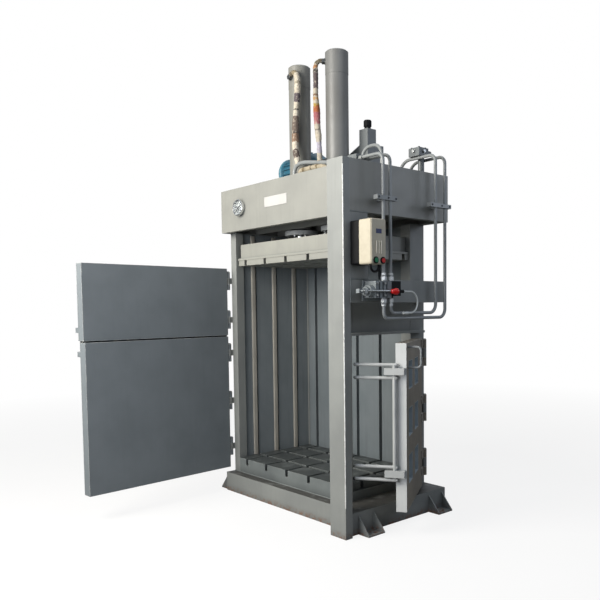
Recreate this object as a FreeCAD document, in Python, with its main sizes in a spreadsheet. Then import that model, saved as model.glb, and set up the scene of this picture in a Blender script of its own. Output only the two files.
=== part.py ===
"""Recycling baler: welded press frame, two front doors, side door, platen and hydraulics.

Frame: +X to the right, +Y to the back, +Z up; the origin is the centre of the base on the floor.
All sizes are millimetres. Every piece reads its sizes from the sheet named Sizes.
"""
import FreeCAD, Part
import math
import os
import re

import Sketcher

V = FreeCAD.Vector

SIZES = {
    # press frame
    "overall_width": 1700, "frame_depth": 966, "base_height": 160, "post_height": 2600,
    "head_height": 353, "plate": 8, "flange_plate": 10, "channel_web": 160, "channel_flange": 63,
    "post_lead": 71, "base_setback": 30, "door_recess": 90,
    "tube_side": 76, "tube_wall": 5, "front_tube_width": 163, "rear_tube_width": 100, "chamber_right": 603,
    "lip_width": 50, "left_wall_inside": 60, "board_relief": 35, "board_sheet": 6, "back_wall_inside": 70,
    # floor and platen grid
    "grid_centre": -104, "grid_pitch": 280, "grid_groove": 35, "row_pitch": 228,
    "row_first": -190, "tray_height": 71, "block_height": 54, "block_sheet": 8,
    "platen_side_gap": 17, "platen_slack": 18, "platen_drop": 235,
    "platen_plate_t": 16, "platen_beam_h": 117, "platen_block_h": 47,
    "beam_inset": 30, "beam_step": 10, "notch_gap": 8, "block_step": 4,
    # right side of the frame
    "mid_beam_z": 1630, "side_gusset_width": 166, "lintel_drop": 238, "lintel_height": 393,
    "lintel_recess": 3, "ledge_width": 57, "ledge_thick": 18, "return_in": 52,
    # anchor feet
    "foot_length": 105, "foot_width": 160, "foot_plate": 10, "foot_rise": 135, "foot_bolt_r": 11,
    "foot_front_in": 93, "foot_rear_in": 118, "foot_hole_out": 35,
    # cylinders
    "cyl_spread": 236, "cyl_y": -12, "cyl_r": 91, "cyl_bore_r": 70, "cyl_sink": 338, "cyl_body": 1175,
    "cap_height": 180, "cap_plug": 30, "cap_bevel": 8, "gland_length": 60, "cap_step": 1.5, "deck_flange": 200,
    "deck_flange_t": 25, "rod_r": 50, "run_gap": 0.05, "piston_h": 60, "piston_rise": 33,
    "rod_disc_r": 95, "rod_disc_h": 28, "bolt_r": 10, "bolt_head": 12,
    "cross_beam_front": 131, "cross_beam_rear": 121,
    # front doors
    "hinge_out": 12, "hinge_lead": 31, "door_width": 1300, "door_thick": 85, "door_inner": 17,
    "hinge_gap": 21, "door_skin": 8, "door_rib": 10, "door_split": 11, "upper_height": 580,
    "door_rise": 40, "lower_height": 1154, "upper_open": 87, "lower_open": 86,
    "knuckle_r": 17.5, "pin_r": 9, "pin_head_step": 4, "pin_head": 6, "hinge_height": 155, "leaf_thick": 12,
    "end_play": 1, "leaf_in": 10,
    "upper_hinge_rise": 134, "upper_hinge_drop": 107, "lower_hinge_rise": 180, "lower_hinge_mid": 587,
    "lower_hinge_drop": 144,
    "door_lug_length": 60, "door_lug_reach": 45, "door_lug_height": 40, "door_lug_drop": 110,
    "door_lug_rise": 60, "lug_eye_in": 30, "lug_eye_out": 25,
    "pull_in": 150, "pull_reach": 70, "pull_half": 90, "pull_bend": 30, "pull_plate_half": 25,
    "pull_plate_tall": 115,
    # side door
    "side_out": 95, "side_in": 55, "side_width": 774, "side_thick": 75, "side_offset": 15,
    "side_gap": 18, "side_rise": 20, "side_top_gap": 42, "side_open": 33, "side_sheet": 6,
    "side_hinge_height": 210, "side_hinge_rise": 183, "side_hinge_mid": 618, "side_hinge_drop": 114,
    "side_web": 60, "side_web_thick": 8,
    "window_width": 165, "window_height": 200, "window_first": 235, "window_side": 220,
    "window_foot": 177, "window_margin": 171, "handle_reach": 90, "handle_span": 142, "handle_r": 8,
    "handle_drop": 100, "handle_in": 66, "handle_bend": 28,
    # side door latch
    "lug_length": 137, "lug_height": 46, "lug_thick": 52, "lug_inset": 9, "lug_rise": 250,
    "lug_drop": 214, "rod_latch_r": 14, "latch_back": 79, "hook_r": 12, "hook_span": 90,
    "hook_length": 275, "hook_tail": 12,
    # control box
    "box_drop": 367, "box_height": 300, "box_width": 144, "box_base_depth": 87, "box_cover_depth": 113,
    "box_wall": 4, "box_round": 14, "box_bevel": 8, "button_r": 15, "button_low": 26, "button_edge": 35,
    "button_out": 10, "button_gap": 0.4, "button_pitch": 66, "cable_r": 6, "cable_loop_r": 40, "cable_drop": 12,
    "box_inset": 2, "button_room": 20, "ring_wall": 5, "ring_proud": 3, "stem_length": 24, "collar_wall": 3,
    "cable_side": 60, "loop_ease": 0.5, "cable_gland_r": 13, "cable_gland_h": 12,
    # hydraulic tubes and valve
    "tube_r": 12, "tube_bore": 9, "tube_out": 80, "tube_bend": 55, "tube_1_y": -315,
    "tube_2_y": -246, "tube_3_y": 240, "tube_4_y": 349, "top_run": 53, "rear_run": 120, "rear_bend": 100,
    "run_drop": 107, "run_step": 36, "nut_r": 19, "nut_h": 34, "valve_rise": 30, "valve_tall": 114,
    "valve_left": -430, "valve_right": -276, "valve_deep": 118, "valve_bracket": 12,
    "coil_right": -178, "lever_out": 135, "lever_rise": 46, "lever_pivot_y": -545, "lever_r": 7,
    "lever_reach": 245, "knob_length": 66, "knob_r": 18, "clamp_rise": 84, "clamp_height": 30,
    "clamp_depth": 38, "clamp_overhang": 74, "hose_r": 6, "hose_out": 103,
    # things on top of the head
    "motor_y": 218, "motor_rise": 220, "motor_r": 130, "motor_over": 2, "motor_length": 470,
    "cowl_length": 109, "fin_thick": 4, "rail_height": 50, "rail_width": 40, "rail_start": 100,
    "rail_past": 190, "rail_front": 90, "rail_rear": 50, "leg_first": 150, "leg_pitch": 200, "leg_length": 40,
    "leg_half": 100, "terminal_first": 230, "terminal_length": 120, "terminal_half": 45, "terminal_rise": 34,
    "pump_flange": 60, "pump_r": 60, "pump_length": 165, "pump_nose": 15, "pump_leg_x": 70, "pump_leg_thick": 7,
    "pump_leg_half": 70, "pump_leg_drop": 20,
    "tank_x": -60, "tank_y": 150, "tank_length": 370, "tank_depth": 180, "tank_height": 240,
    "tank_slope": 120, "tank_wall": 4, "mouth_step": 10, "mouth_depth": 20,
    "neck_side": 95, "neck_height": 420, "filler_r": 32, "filler_h": 75, "header_r": 16,
    "header_y": -142, "header_rise": 150, "header_bend": 60, "header_over": 190, "header_lead": 15,
    "drop_reach": 70, "stub_height": 60, "foot_nut_h": 30, "wrap_r": 17, "wrap_bend": 300, "wrap_knee": 26,
    "wrap_turn": 40, "wrap_out": 70, "wrap_lean": 55, "wrap_back": 20, "wrap_fall": 420, "wrap_lead": 260,
    "arch_left": 359, "arch_span": 214, "arch_rise": 235, "arch_bend": 90, "arch_r": 13, "arch_gap": 110,
    "block_back": 150, "block_length": 90, "block_side": 32, "block_over": 28, "port_drop": 45,
    "relief_in": 160, "relief_lead": 28, "relief_side": 106, "relief_stem_r": 24, "relief_foot_r": 36,
    "relief_foot_h": 14, "relief_cap_r": 20, "relief_cap": 44, "relief_low": 75,
    "arch_nut_wall": 9, "stub_wall": 8, "foot_nut_wall": 10,
    # hand valve
    "groove_depth": 12, "groove_width": 14, "groove_first": 28, "groove_pitch": 36, "bracket_side": 20,
    "bracket_low": 18, "bracket_high": 6, "spool_back": 5, "spool_cap_r": 40, "spool_cap_l": 40,
    "spool_ring_r": 30, "spool_ring_l": 22, "weld_in": 2, "fork_back": 18, "fork_front": 12, "fork_over": 16,
    "fork_in": 50, "fork_half": 14, "pin_step": 3, "pin_over": 16, "port_rise": 11, "port_fall": 12,
    "coil_in": 4,
    "coil_rise": 14, "coil_over": 2, "end_cap_r": 12, "end_cap_l": 37, "eye_r": 15, "eye_l": 16, "bar_in": 10,
    # instruments
    "gauge_x": -558, "gauge_rise": 185, "gauge_r": 54, "gauge_depth": 34, "bezel_width": 7, "bezel_depth": 12,
    "plate_x": -220, "plate_rise": 150, "plate_width": 290, "plate_height": 78, "plate_thick": 2,
    "rivet_r": 4, "rivet_in": 8, "rivet_proud": 1.5, "rivet_seat": 0.5, "case_step": 4, "dial_in": 8,
    "case_floor": 6, "dial_drop": 16, "post_drop": 8, "post_r": 2.4, "glass_drop": 4, "glass_thick": 2.6,
    "needle_hub_r": 6, "needle_hub_t": 3, "needle_half": 3.5, "needle_tip": 0.8, "needle_short": 16,
    "needle_thick": 1.4, "needle_gap": 0.05, "needle_rest": 125, "needle_drop": 15,
    "seat_gap": 0.3,
}

DERIVED = {
    "half_width": "overall_width / 2",
    "half_depth": "frame_depth / 2",
    "head_bottom": "post_height - head_height",
    "post_back": "0 - half_depth - post_lead",
    "post_front": "post_back - channel_flange",
    "post_left": "half_width - channel_web",
    "base_right": "half_width - base_setback",
    "chamber_front": "0 - half_depth + door_recess",
    "front_tube_back": "chamber_front + tube_side",
    "rear_tube_front": "half_depth - channel_web",
    "left_tube_right": "0 - half_width + tube_side",
    "rear_left_front": "half_depth - tube_side",
    "rear_tube_left": "chamber_right - rear_tube_width",
    "front_tube_left": "chamber_right - front_tube_width",
    "wall_face": "0 - half_width + left_wall_inside",
    "back_face": "half_depth - back_wall_inside",
    "tray_top": "base_height + tray_height",
    "cyl_right_x": "grid_centre + cyl_spread",
    "cyl_left_x": "grid_centre - cyl_spread",
    "beam_top": "platen_plate_z + platen_plate_t + platen_beam_h",
    "mid_beam_top": "mid_beam_z + channel_web",
    "lintel_face": "chamber_right - lintel_recess",
    "box_front": "half_width + box_base_depth + box_cover_depth",
    "box_left": "post_back + 0.5",
    "latch_y": "0 - side_offset - latch_back",
    "latch_x": "side_width + lug_thick / 2",
    "platen_left": "left_tube_right + notch_gap / 2",
    "platen_right": "chamber_right - platen_side_gap",
    "platen_front": "chamber_front + platen_slack",
    "platen_back": "back_face - platen_slack",
    "platen_plate_z": "head_bottom - platen_drop",
    "lintel_z": "mid_beam_z - lintel_drop",
    "return_back": "half_depth - return_in",
    "foot_front": "foot_front_in - half_depth",
    "foot_rear": "half_depth - foot_rear_in",
    "foot_hole_x": "half_width + foot_hole_out",
    "foot_hole_y": "(foot_rear - foot_front) / 2",
    "cyl_bottom": "post_height - cyl_sink",
    "cyl_joint": "cyl_bottom + cyl_body",
    "cyl_top": "cyl_joint + cap_height",
    "piston_z": "cyl_joint + piston_rise",
    "hinge_x": "0 - half_width - hinge_out",
    "hinge_y": "chamber_front - hinge_lead",
    "lower_z": "base_height + door_rise",
    "lower_top": "lower_z + lower_height",
    "upper_z": "lower_top + door_split",
    "upper_hinge_a": "upper_z + upper_hinge_rise",
    "upper_hinge_b": "upper_z + upper_height - upper_hinge_drop",
    "lower_hinge_a": "lower_z + lower_hinge_rise",
    "lower_hinge_b": "lower_z + lower_hinge_mid",
    "lower_hinge_c": "lower_top - lower_hinge_drop",
    "side_x": "chamber_right + side_out",
    "side_y": "rear_tube_front + side_in",
    "side_z": "base_height + side_rise",
    "side_top": "lintel_z - side_top_gap",
    "side_height": "side_top - side_z",
    "side_hinge_a": "side_z + side_hinge_rise",
    "side_hinge_b": "side_z + side_hinge_mid",
    "side_hinge_c": "side_top - side_hinge_drop",
    "window_pitch": "(side_width - window_side) / 2",
    "window_low": "side_z + window_foot",
    "window_step": "(side_height - window_margin) / 3",
    "handle_z": "side_top - handle_drop",
    "lug_low_z": "side_z + lug_rise",
    "lug_high_z": "side_top - lug_drop",
    "box_z": "head_bottom - box_drop",
    "tube_x": "half_width + tube_out",
    "top_run_z": "post_height + top_run",
    "rear_run_z": "post_height + rear_run",
    "valve_low": "mid_beam_z + valve_rise",
    "valve_high": "valve_low + valve_tall",
    "valve_front": "half_width + valve_deep",
    "lever_x": "half_width + lever_out",
    "lever_z": "valve_low + lever_rise",
    "run_3_z": "valve_low - run_drop",
    "run_4_z": "run_3_z - run_step",
    "clamp_z": "head_bottom + clamp_rise",
    "hose_x": "half_width + hose_out",
    "motor_axis_z": "post_height + motor_rise",
    "motor_left": "0 - half_width - motor_over",
    "header_z": "post_height + header_rise",
    "relief_x": "half_width - relief_in",
    "relief_y": "tube_3_y - relief_lead",
    "gauge_z": "head_bottom + gauge_rise",
    "plate_z": "head_bottom + plate_rise",
}

doc = FreeCAD.newDocument("Baler")
sheet = doc.addObject("Spreadsheet::Sheet", "Sizes")
ROWS = list(enumerate(list(SIZES.items()) + list(DERIVED.items()), start=1))
for row, (alias, value) in ROWS:
    sheet.set(f"A{row}", alias)
    sheet.setAlias(f"B{row}", alias)
for row, (alias, value) in ROWS:
    sheet.set(f"B{row}", str(value) if alias in SIZES else f"={value}")
doc.recompute()

ALIASES = set(SIZES) | set(DERIVED)
NODES = []
FIN_COUNT = 18


def val(text):
    """Number that an expression of sheet names gives."""
    numbers = {name: float(getattr(sheet, name)) for name in ALIASES if re.search(rf"\b{name}\b", str(text))}
    total = str(text)
    for name in sorted(numbers, key=len, reverse=True):
        total = re.sub(rf"\b{name}\b", f"({numbers[name]!r})", total)
    return float(FreeCAD.Units.Quantity(total).Value)


def link(text):
    """Expression text with each sheet name in front of its dot."""
    return re.sub(r"[a-z][a-z0-9_]*", lambda m: f"Sizes.{m.group(0)}" if m.group(0) in ALIASES else m.group(0),
                  str(text))


def bind(obj, prop, text):
    """Ties one property of an object to an expression."""
    obj.setExpression(prop, link(text))
    return obj


def place(obj, x="0", y="0", z="0"):
    """Ties an object's position to expressions."""
    bind(obj, "Placement.Base.x", x)
    bind(obj, "Placement.Base.y", y)
    bind(obj, "Placement.Base.z", z)
    return obj


def block(name, x, y, z):
    """Box between two expressions on each axis."""
    obj = doc.addObject("Part::Box", name)
    for prop, (low, high) in zip(("Length", "Width", "Height"), (x, y, z)):
        bind(obj, prop, f"({high}) - ({low})")
    return place(obj, x[0], y[0], z[0])


AXES = {"x": FreeCAD.Rotation(V(0, 1, 0), 90), "y": FreeCAD.Rotation(V(1, 0, 0), -90),
        "z": FreeCAD.Rotation()}


def rod(name, axis, radius, start, length):
    """Cylinder along an axis from its start point (three expressions)."""
    obj = doc.addObject("Part::Cylinder", name)
    obj.Placement = FreeCAD.Placement(V(), AXES[axis])
    bind(obj, "Radius", radius)
    bind(obj, "Height", length)
    return place(obj, *start)


def fuse(name, parts):
    """Union of the parts."""
    obj = doc.addObject("Part::MultiFuse", name)
    obj.Shapes = parts
    return obj


def cut(name, base, tools):
    """Base without the tools."""
    obj = doc.addObject("Part::Cut", name)
    obj.Base = base
    obj.Tool = tools[0] if len(tools) == 1 else fuse(name + "_tools", tools)
    return obj


def group(name, parts):
    """Separate solids that share one node."""
    obj = doc.addObject("Part::Compound", name)
    obj.Links = parts
    return obj


def node(obj, label):
    """Marks an object as a finished piece."""
    obj.Label = label
    NODES.append(obj)
    return obj


def plane_of(body, role):
    """Origin plane of a body by its role."""
    return next(item for item in body.Origin.OriginFeatures if item.Role == role)


def outline(body, role, loops, name):
    """Sketch of closed outlines whose corners follow expression pairs."""
    sketch = body.newObject("Sketcher::SketchObject", name)
    sketch.AttachmentSupport = [(plane_of(body, role), "")]
    sketch.MapMode = "FlatFace"
    for corners in loops:
        first = sketch.GeometryCount
        spots = [V(val(x), val(y), 0) for x, y in corners]
        for index, spot in enumerate(spots):
            sketch.addGeometry(Part.LineSegment(spot, spots[(index + 1) % len(spots)]), False)
        for index, (x, y) in enumerate(corners):
            here = first + index
            after = first + (index + 1) % len(corners)
            sketch.addConstraint(Sketcher.Constraint("Coincident", here, 2, after, 1))
            for kind, text, number in (("DistanceX", x, spots[index].x), ("DistanceY", y, spots[index].y)):
                spot_id = sketch.addConstraint(Sketcher.Constraint(kind, -1, 1, here, 1, number))
                sketch.setExpression(f"Constraints[{spot_id}]", link(text))
    return sketch


def padded(name, role, loops, length, reverse=False):
    """Body made of one pad of closed outlines."""
    body = doc.addObject("PartDesign::Body", name)
    sketch = outline(body, role, loops, name + "_outline")
    pad = body.newObject("PartDesign::Pad", name + "_pad")
    pad.Profile = sketch
    pad.Reversed = reverse
    bind(pad, "Length", length)
    body.Tip = pad
    return body


def turned(name, role, corners):
    """Body turned about its sketch's vertical axis."""
    body = doc.addObject("PartDesign::Body", name)
    sketch = outline(body, role, [corners], name + "_outline")
    turn = body.newObject("PartDesign::Revolution", name + "_turn")
    turn.Profile = sketch
    turn.ReferenceAxis = (sketch, ["V_Axis"])
    turn.Angle = 360
    body.Tip = turn
    return body


def box_loop(x0, x1, y0, y1):
    """Rectangle as four corners."""
    return [(x0, y0), (x1, y0), (x1, y1), (x0, y1)]


def tube_post(label, x, y, z0, z1):
    """Square hollow post standing between two heights."""
    inner = box_loop(f"{x[0]} + tube_wall", f"{x[1]} - tube_wall", f"{y[0]} + tube_wall", f"{y[1]} - tube_wall")
    body = padded(label, "XY_Plane", [box_loop(*x, *y), inner], f"({z1}) - ({z0})")
    return bind(body, "Placement.Base.z", z0)


def rounded_path(points, radii):
    """Wire of straight runs joined by tangent arcs."""
    edges = []
    last = points[0]
    for before, corner, after, radius in zip(points, points[1:], points[2:], radii):
        to_before = (before - corner).normalize()
        to_after = (after - corner).normalize()
        half = to_before.getAngle(to_after) / 2
        reach = radius / math.tan(half)
        start = corner + to_before * reach
        end = corner + to_after * reach
        middle = (to_before + to_after).normalize()
        peak = corner + middle * (radius / math.sin(half) - radius)
        edges.append(Part.LineSegment(last, start).toShape())
        edges.append(Part.Arc(start, peak, end).toShape())
        last = end
    edges.append(Part.LineSegment(last, points[-1]).toShape())
    return Part.Wire(edges)


def swept(points, radii, radius, bore=0.0):
    """Round bar or tube along straight runs and arcs; prints its section check."""
    path = rounded_path(points, radii)
    heading = points[1] - points[0]
    ring = Part.Face(Part.Wire(Part.makeCircle(radius, points[0], heading)))
    if bore:
        ring = ring.cut(Part.Face(Part.Wire(Part.makeCircle(bore, points[0], heading)))).Faces[0]
    solid = path.makePipe(ring)
    ideal = math.pi * (radius ** 2 - bore ** 2) * path.Length
    share = solid.Volume / ideal
    print(f"  run {path.Length:.0f} mm, bends {[round(r) for r in radii]}, volume ratio {share:.4f}")
    return solid if solid.ShapeType == "Solid" else solid.Solids[0]


def feature(name, shape):
    """Part::Feature holding a shape made from sheet values."""
    obj = doc.addObject("Part::Feature", name)
    obj.Shape = shape
    obj.Placement = FreeCAD.Placement()
    return obj


def point(x, y, z):
    """Point from three expressions."""
    return V(val(x), val(y), val(z))


def hexagon(axis, across, start, length):
    """Hexagonal nut shape as a solid, given its corner radius."""
    heading = {"x": V(1, 0, 0), "y": V(0, 1, 0), "z": V(0, 0, 1)}[axis]
    side = V(0, 0, 1) if axis != "z" else V(1, 0, 0)
    turn = [FreeCAD.Rotation(heading, 60 * step).multVec(side) * across for step in range(6)]
    wire = Part.makePolygon([start + spot for spot in turn] + [start + turn[0]])
    return Part.Face(wire).extrude(heading * length)


# ---------------------------------------------------------------- base and posts
def make_base():
    """Welded base: top plate over channel webs with bottom flanges, and the inner member."""
    top = block("base_top", ("0 - half_width", "base_right"), ("0 - half_depth", "half_depth"),
                ("base_height - flange_plate", "base_height"))
    webs = [
        block("base_front_web", ("0 - half_width", "base_right"),
              ("0 - half_depth", "0 - half_depth + plate"), ("0", "base_height - flange_plate")),
        block("base_rear_web", ("0 - half_width", "base_right"),
              ("half_depth - plate", "half_depth"), ("0", "base_height - flange_plate")),
        block("base_left_web", ("0 - half_width", "0 - half_width + plate"),
              ("0 - half_depth", "half_depth"), ("0", "base_height - flange_plate")),
        block("base_right_web", ("base_right - plate", "base_right"),
              ("post_back", "half_depth"), ("0", "base_height")),
        block("base_inner_web", ("chamber_right - plate", "chamber_right"),
              ("0 - half_depth", "half_depth"), ("0", "base_height - flange_plate")),
    ]
    feet = [
        block("base_front_flange", ("0 - half_width", "base_right"),
              ("0 - half_depth", "0 - half_depth + channel_flange"), ("0", "flange_plate")),
        block("base_rear_flange", ("0 - half_width", "base_right"),
              ("half_depth - channel_flange", "half_depth"), ("0", "flange_plate")),
        block("base_left_flange", ("0 - half_width", "0 - half_width + channel_flange"),
              ("0 - half_depth", "half_depth"), ("0", "flange_plate")),
        block("base_right_flange", ("base_right - channel_flange", "base_right"),
              ("post_back", "half_depth"), ("0", "flange_plate")),
        block("base_lead_flange", ("base_right - channel_flange", "base_right"),
              ("post_back", "0 - half_depth"), ("base_height - flange_plate", "base_height")),
    ]
    return node(fuse("base_frame", [top] + webs + feet), "base_frame")


def make_feet():
    """Four anchor feet: a drilled plate with two triangular gussets each."""
    feet = []
    for side, name in ((1, "right"), (-1, "left")):
        for middle, end, hole_y in (("foot_front", "front", "0 - foot_hole_y"),
                                    ("foot_rear", "rear", "foot_hole_y")):
            wall = "base_right" if side > 0 else "half_width"
            x0, x1 = (wall, f"{wall} + foot_length") if side > 0 else (f"0 - {wall} - foot_length",
                                                                       f"0 - {wall}")
            tag = f"foot_{name}_{end}"
            plate = block(tag + "_plate", (x0, x1),
                          (f"{middle} - foot_width / 2", f"{middle} + foot_width / 2"),
                          ("0", "foot_plate"))
            hole_x = "foot_hole_x" if side > 0 else "0 - foot_hole_x"
            hole = rod(tag + "_hole", "z", "foot_bolt_r", (hole_x, hole_y, "0 - 1"), "foot_plate + 2")
            corners = [(x0 if side > 0 else x1, "foot_plate"), (x1 if side > 0 else x0, "foot_plate"),
                       (x0 if side > 0 else x1, "foot_rise")]
            ribs = []
            for edge, low in (("a", f"{middle} - foot_width / 2 + plate"), ("b", f"{middle} + foot_width / 2")):
                rib = padded(f"{tag}_rib_{edge}", "XZ_Plane", [corners], "plate")
                ribs.append(bind(rib, "Placement.Base.y", low))
            feet.append(fuse(tag, [cut(tag + "_drilled", plate, [hole])] + ribs))
    return node(group("anchor_feet", feet), "anchor_feet")


def make_tall_post():
    """Front right channel: web to the front, flanges to the back."""
    left, right = "post_left", "half_width"
    corners = [(left, "post_front"), (right, "post_front"), (right, "post_back"),
               (f"{right} - flange_plate", "post_back"), (f"{right} - flange_plate", "post_front + plate"),
               (f"{left} + flange_plate", "post_front + plate"), (f"{left} + flange_plate", "post_back"),
               (left, "post_back")]
    return node(padded("tall_post", "XY_Plane", [corners], "post_height"), "tall_post")


def make_posts():
    """The four chamber posts between base and head."""
    height = ("base_height", "head_bottom")
    left, right = ("0 - half_width", "left_tube_right"), ("front_tube_left", "chamber_right")
    front = ("chamber_front", "front_tube_back")
    posts = [
        tube_post("post_left_front", left, front, *height),
        tube_post("post_right_front", right, front, *height),
        tube_post("post_left_rear", left, ("rear_left_front", "half_depth"), *height),
        tube_post("post_right_rear", ("rear_tube_left", "chamber_right"), ("rear_tube_front", "half_depth"),
                  *height),
    ]
    return node(group("chamber_posts", posts), "chamber_posts")


# ---------------------------------------------------------------- head
def make_head():
    """Head box: four side plates, bottom lips, deck with cylinder holes and two cross beams."""
    rise = ("head_bottom", "post_height")
    low = ("head_bottom", "head_bottom + flange_plate")
    parts = [
        block("head_front", ("0 - half_width", "half_width - plate"),
              ("0 - half_depth", "0 - half_depth + plate"), rise),
        block("head_rear", ("0 - half_width", "half_width"), ("half_depth - plate", "half_depth"), rise),
        block("head_left", ("0 - half_width", "0 - half_width + plate"), ("0 - half_depth", "half_depth"),
              rise),
        block("head_right", ("half_width - plate", "half_width"), ("post_back", "half_depth"), rise),
        block("head_link", ("post_left", "post_left + plate"), ("post_back", "0 - half_depth"), rise),
        block("head_lip_front", ("0 - half_width", "half_width"),
              ("0 - half_depth", "0 - half_depth + lip_width"), low),
        block("head_lip_rear", ("0 - half_width", "half_width"), ("half_depth - lip_width", "half_depth"), low),
        block("head_lip_left", ("0 - half_width", "0 - half_width + lip_width"),
              ("0 - half_depth", "half_depth"), low),
        block("head_lip_right", ("half_width - lip_width", "half_width"), ("0 - half_depth", "half_depth"),
              low),
    ]
    return node(fuse("head_frame", parts), "head_frame")


def make_deck():
    """Deck plate in the head with two cross beams under it, bored for the cylinders."""
    inside = ("0 - half_width + plate", "half_width - plate")
    top = block("deck_top", inside, ("0 - half_depth + plate", "half_depth - plate"),
                ("post_height - flange_plate", "post_height"))
    beams = [
        block(f"deck_beam_{tag}", inside, (f"cyl_y + {low}", f"cyl_y + {low} + flange_plate"),
              ("head_bottom + flange_plate", "post_height - flange_plate"))
        for tag, low in (("front", "0 - cross_beam_front"), ("rear", "cross_beam_rear"))
    ]
    rails = [block(f"motor_rail_{n}", ("motor_left + rail_start", "motor_left + motor_length + rail_past"),
                   (start, f"{start} + rail_width"), ("post_height", "post_height + rail_height"))
             for n, start in enumerate(("motor_y - rail_front", "motor_y + rail_rear"))]
    holes = [rod(f"deck_hole_{tag}", "z", "cyl_r + seat_gap", (x, "cyl_y", "post_height - flange_plate - 1"),
                 "flange_plate + 2") for tag, x in (("left", "cyl_left_x"), ("right", "cyl_right_x"))]
    return node(cut("head_deck", fuse("deck_welded", [top] + beams + rails), holes), "head_deck")


# ---------------------------------------------------------------- right side of the frame
def make_side_frame():
    """Side beam with its return to the rear post, gusset, lintel plate and ledge."""
    top, low = "mid_beam_top", "mid_beam_z"
    section = [("half_width", low), ("half_width", top), ("half_width - channel_flange", top),
               ("half_width - channel_flange", f"{top} - flange_plate"),
               ("half_width - plate", f"{top} - flange_plate"),
               ("half_width - plate", f"{low} + flange_plate"),
               ("half_width - channel_flange", f"{low} + flange_plate"), ("half_width - channel_flange", low)]
    side = padded("side_run", "XZ_Plane", [section], "return_back - post_back")
    bind(side, "Placement.Base.y", "return_back")
    web = block("return_web", ("chamber_right", "half_width"), ("return_back - plate", "return_back"),
                (low, top))
    flanges = [block(f"return_flange_{tag}", ("chamber_right", "half_width - plate"),
                     ("return_back - channel_flange", "return_back"), span)
               for tag, span in (("top", (f"{top} - flange_plate", top)),
                                 ("low", (low, f"{low} + flange_plate")))]
    gusset = block("side_gusset", ("half_width - plate", "half_width"),
                   ("post_back", "post_back + side_gusset_width"),
                   (top, "head_bottom"))
    node(fuse("mid_beam", [side, web, gusset] + flanges), "mid_beam")
    sheet_plate = block("lintel_plate", ("lintel_face - plate", "lintel_face"),
                        ("front_tube_back", "rear_tube_front"),
                        ("lintel_z", "lintel_z + lintel_height"))
    foot = block("lintel_foot", ("lintel_face - plate", "chamber_right"),
                 ("front_tube_back", "rear_tube_front"),
                 ("lintel_z", "lintel_z + plate"))
    ledge = block("lintel_ledge", ("chamber_right", "chamber_right + ledge_width"),
                  ("chamber_front", "return_back"),
                  ("lintel_z", "lintel_z + ledge_thick"))
    node(fuse("side_lintel", [sheet_plate, foot, ledge]), "side_lintel")


# ---------------------------------------------------------------- walls and floor
def row_edges(front, back):
    """Front and back expressions of the rows between grooves."""
    lines = [f"row_first + {step} * row_pitch" for step in range(3)]
    starts = [front] + [f"{line} + grid_groove / 2" for line in lines]
    ends = [f"{line} - grid_groove / 2" for line in lines] + [back]
    return list(zip(starts, ends))


def column_edges(left, right):
    """Left and right expressions of the columns between grooves."""
    lines = [f"grid_centre + {step} * grid_pitch" for step in range(-2, 3)]
    starts = [left] + [f"{line} + grid_groove / 2" for line in lines]
    ends = [f"{line} - grid_groove / 2" for line in lines] + [right]
    return list(zip(starts, ends))


def board(name, x, y, room_x, room_y):
    """Folded upright board of a wall: closed at its foot, hollow behind its face and open at its top."""
    shell = block(name + "_shell", x, y, ("tray_top", "head_bottom"))
    room = block(name + "_room", room_x, room_y, ("tray_top + board_sheet", "head_bottom + 1"))
    return cut(name, shell, [room])


def inset(span, size):
    """Both ends of a span moved inwards by one size."""
    return f"{span[0]} + {size}", f"{span[1]} - {size}"


def make_walls():
    """Left and back wall sheets with raised boards between strap grooves."""
    left_back, left_face = "wall_face - board_relief", "wall_face"
    left_sheet = block("left_sheet", (f"{left_back} - plate", left_back),
                       ("front_tube_back", "rear_left_front"),
                       ("base_height", "head_bottom"))
    boards = [board(f"left_board_{n}", (left_back, left_face), span, (left_back, "wall_face - board_sheet"),
                    inset(span, "board_sheet")) for n,
                    span in enumerate(row_edges("front_tube_back", "back_face - 1"))]
    corner = block("left_corner", (f"{left_back} - 1", "wall_face + 1"), ("rear_left_front", "half_depth"),
                   ("0", "post_height"))
    node(cut("left_wall", fuse("left_wall_welded", [left_sheet] + boards), [corner]), "left_wall")
    across = ("left_tube_right", "rear_tube_left")
    back_line = "back_face + board_relief"
    back_sheet = block("back_sheet", across, (back_line, f"{back_line} + plate"),
                       ("base_height", "head_bottom"))
    panels = [board(f"back_board_{n}", span, ("back_face", back_line), inset(span, "board_sheet"),
                    ("back_face + board_sheet", back_line)) for n, span in enumerate(column_edges(*across))]
    node(fuse("back_wall", [back_sheet] + panels), "back_wall")


def corner_notches(name, gap):
    """Cut-outs around the four posts, one gap larger than the posts."""
    across = {"left": ("0 - half_width", f"left_tube_right + {gap}"),
              "right_front": (f"front_tube_left - {gap}", "chamber_right + 1"),
              "right_rear": (f"rear_tube_left - {gap}", "chamber_right + 1")}
    front = ("chamber_front - 1", f"front_tube_back + {gap}")
    spots = (("left", "left_front", front), ("left", "left_rear", (f"rear_left_front - {gap}", "half_depth")),
             ("right_front", "right_front", front),
             ("right_rear", "right_rear", (f"rear_tube_front - {gap}", "half_depth")))
    return [block(f"{name}_{tag}", across[key], along, ("0", "post_height")) for key, tag, along in spots]


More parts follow.
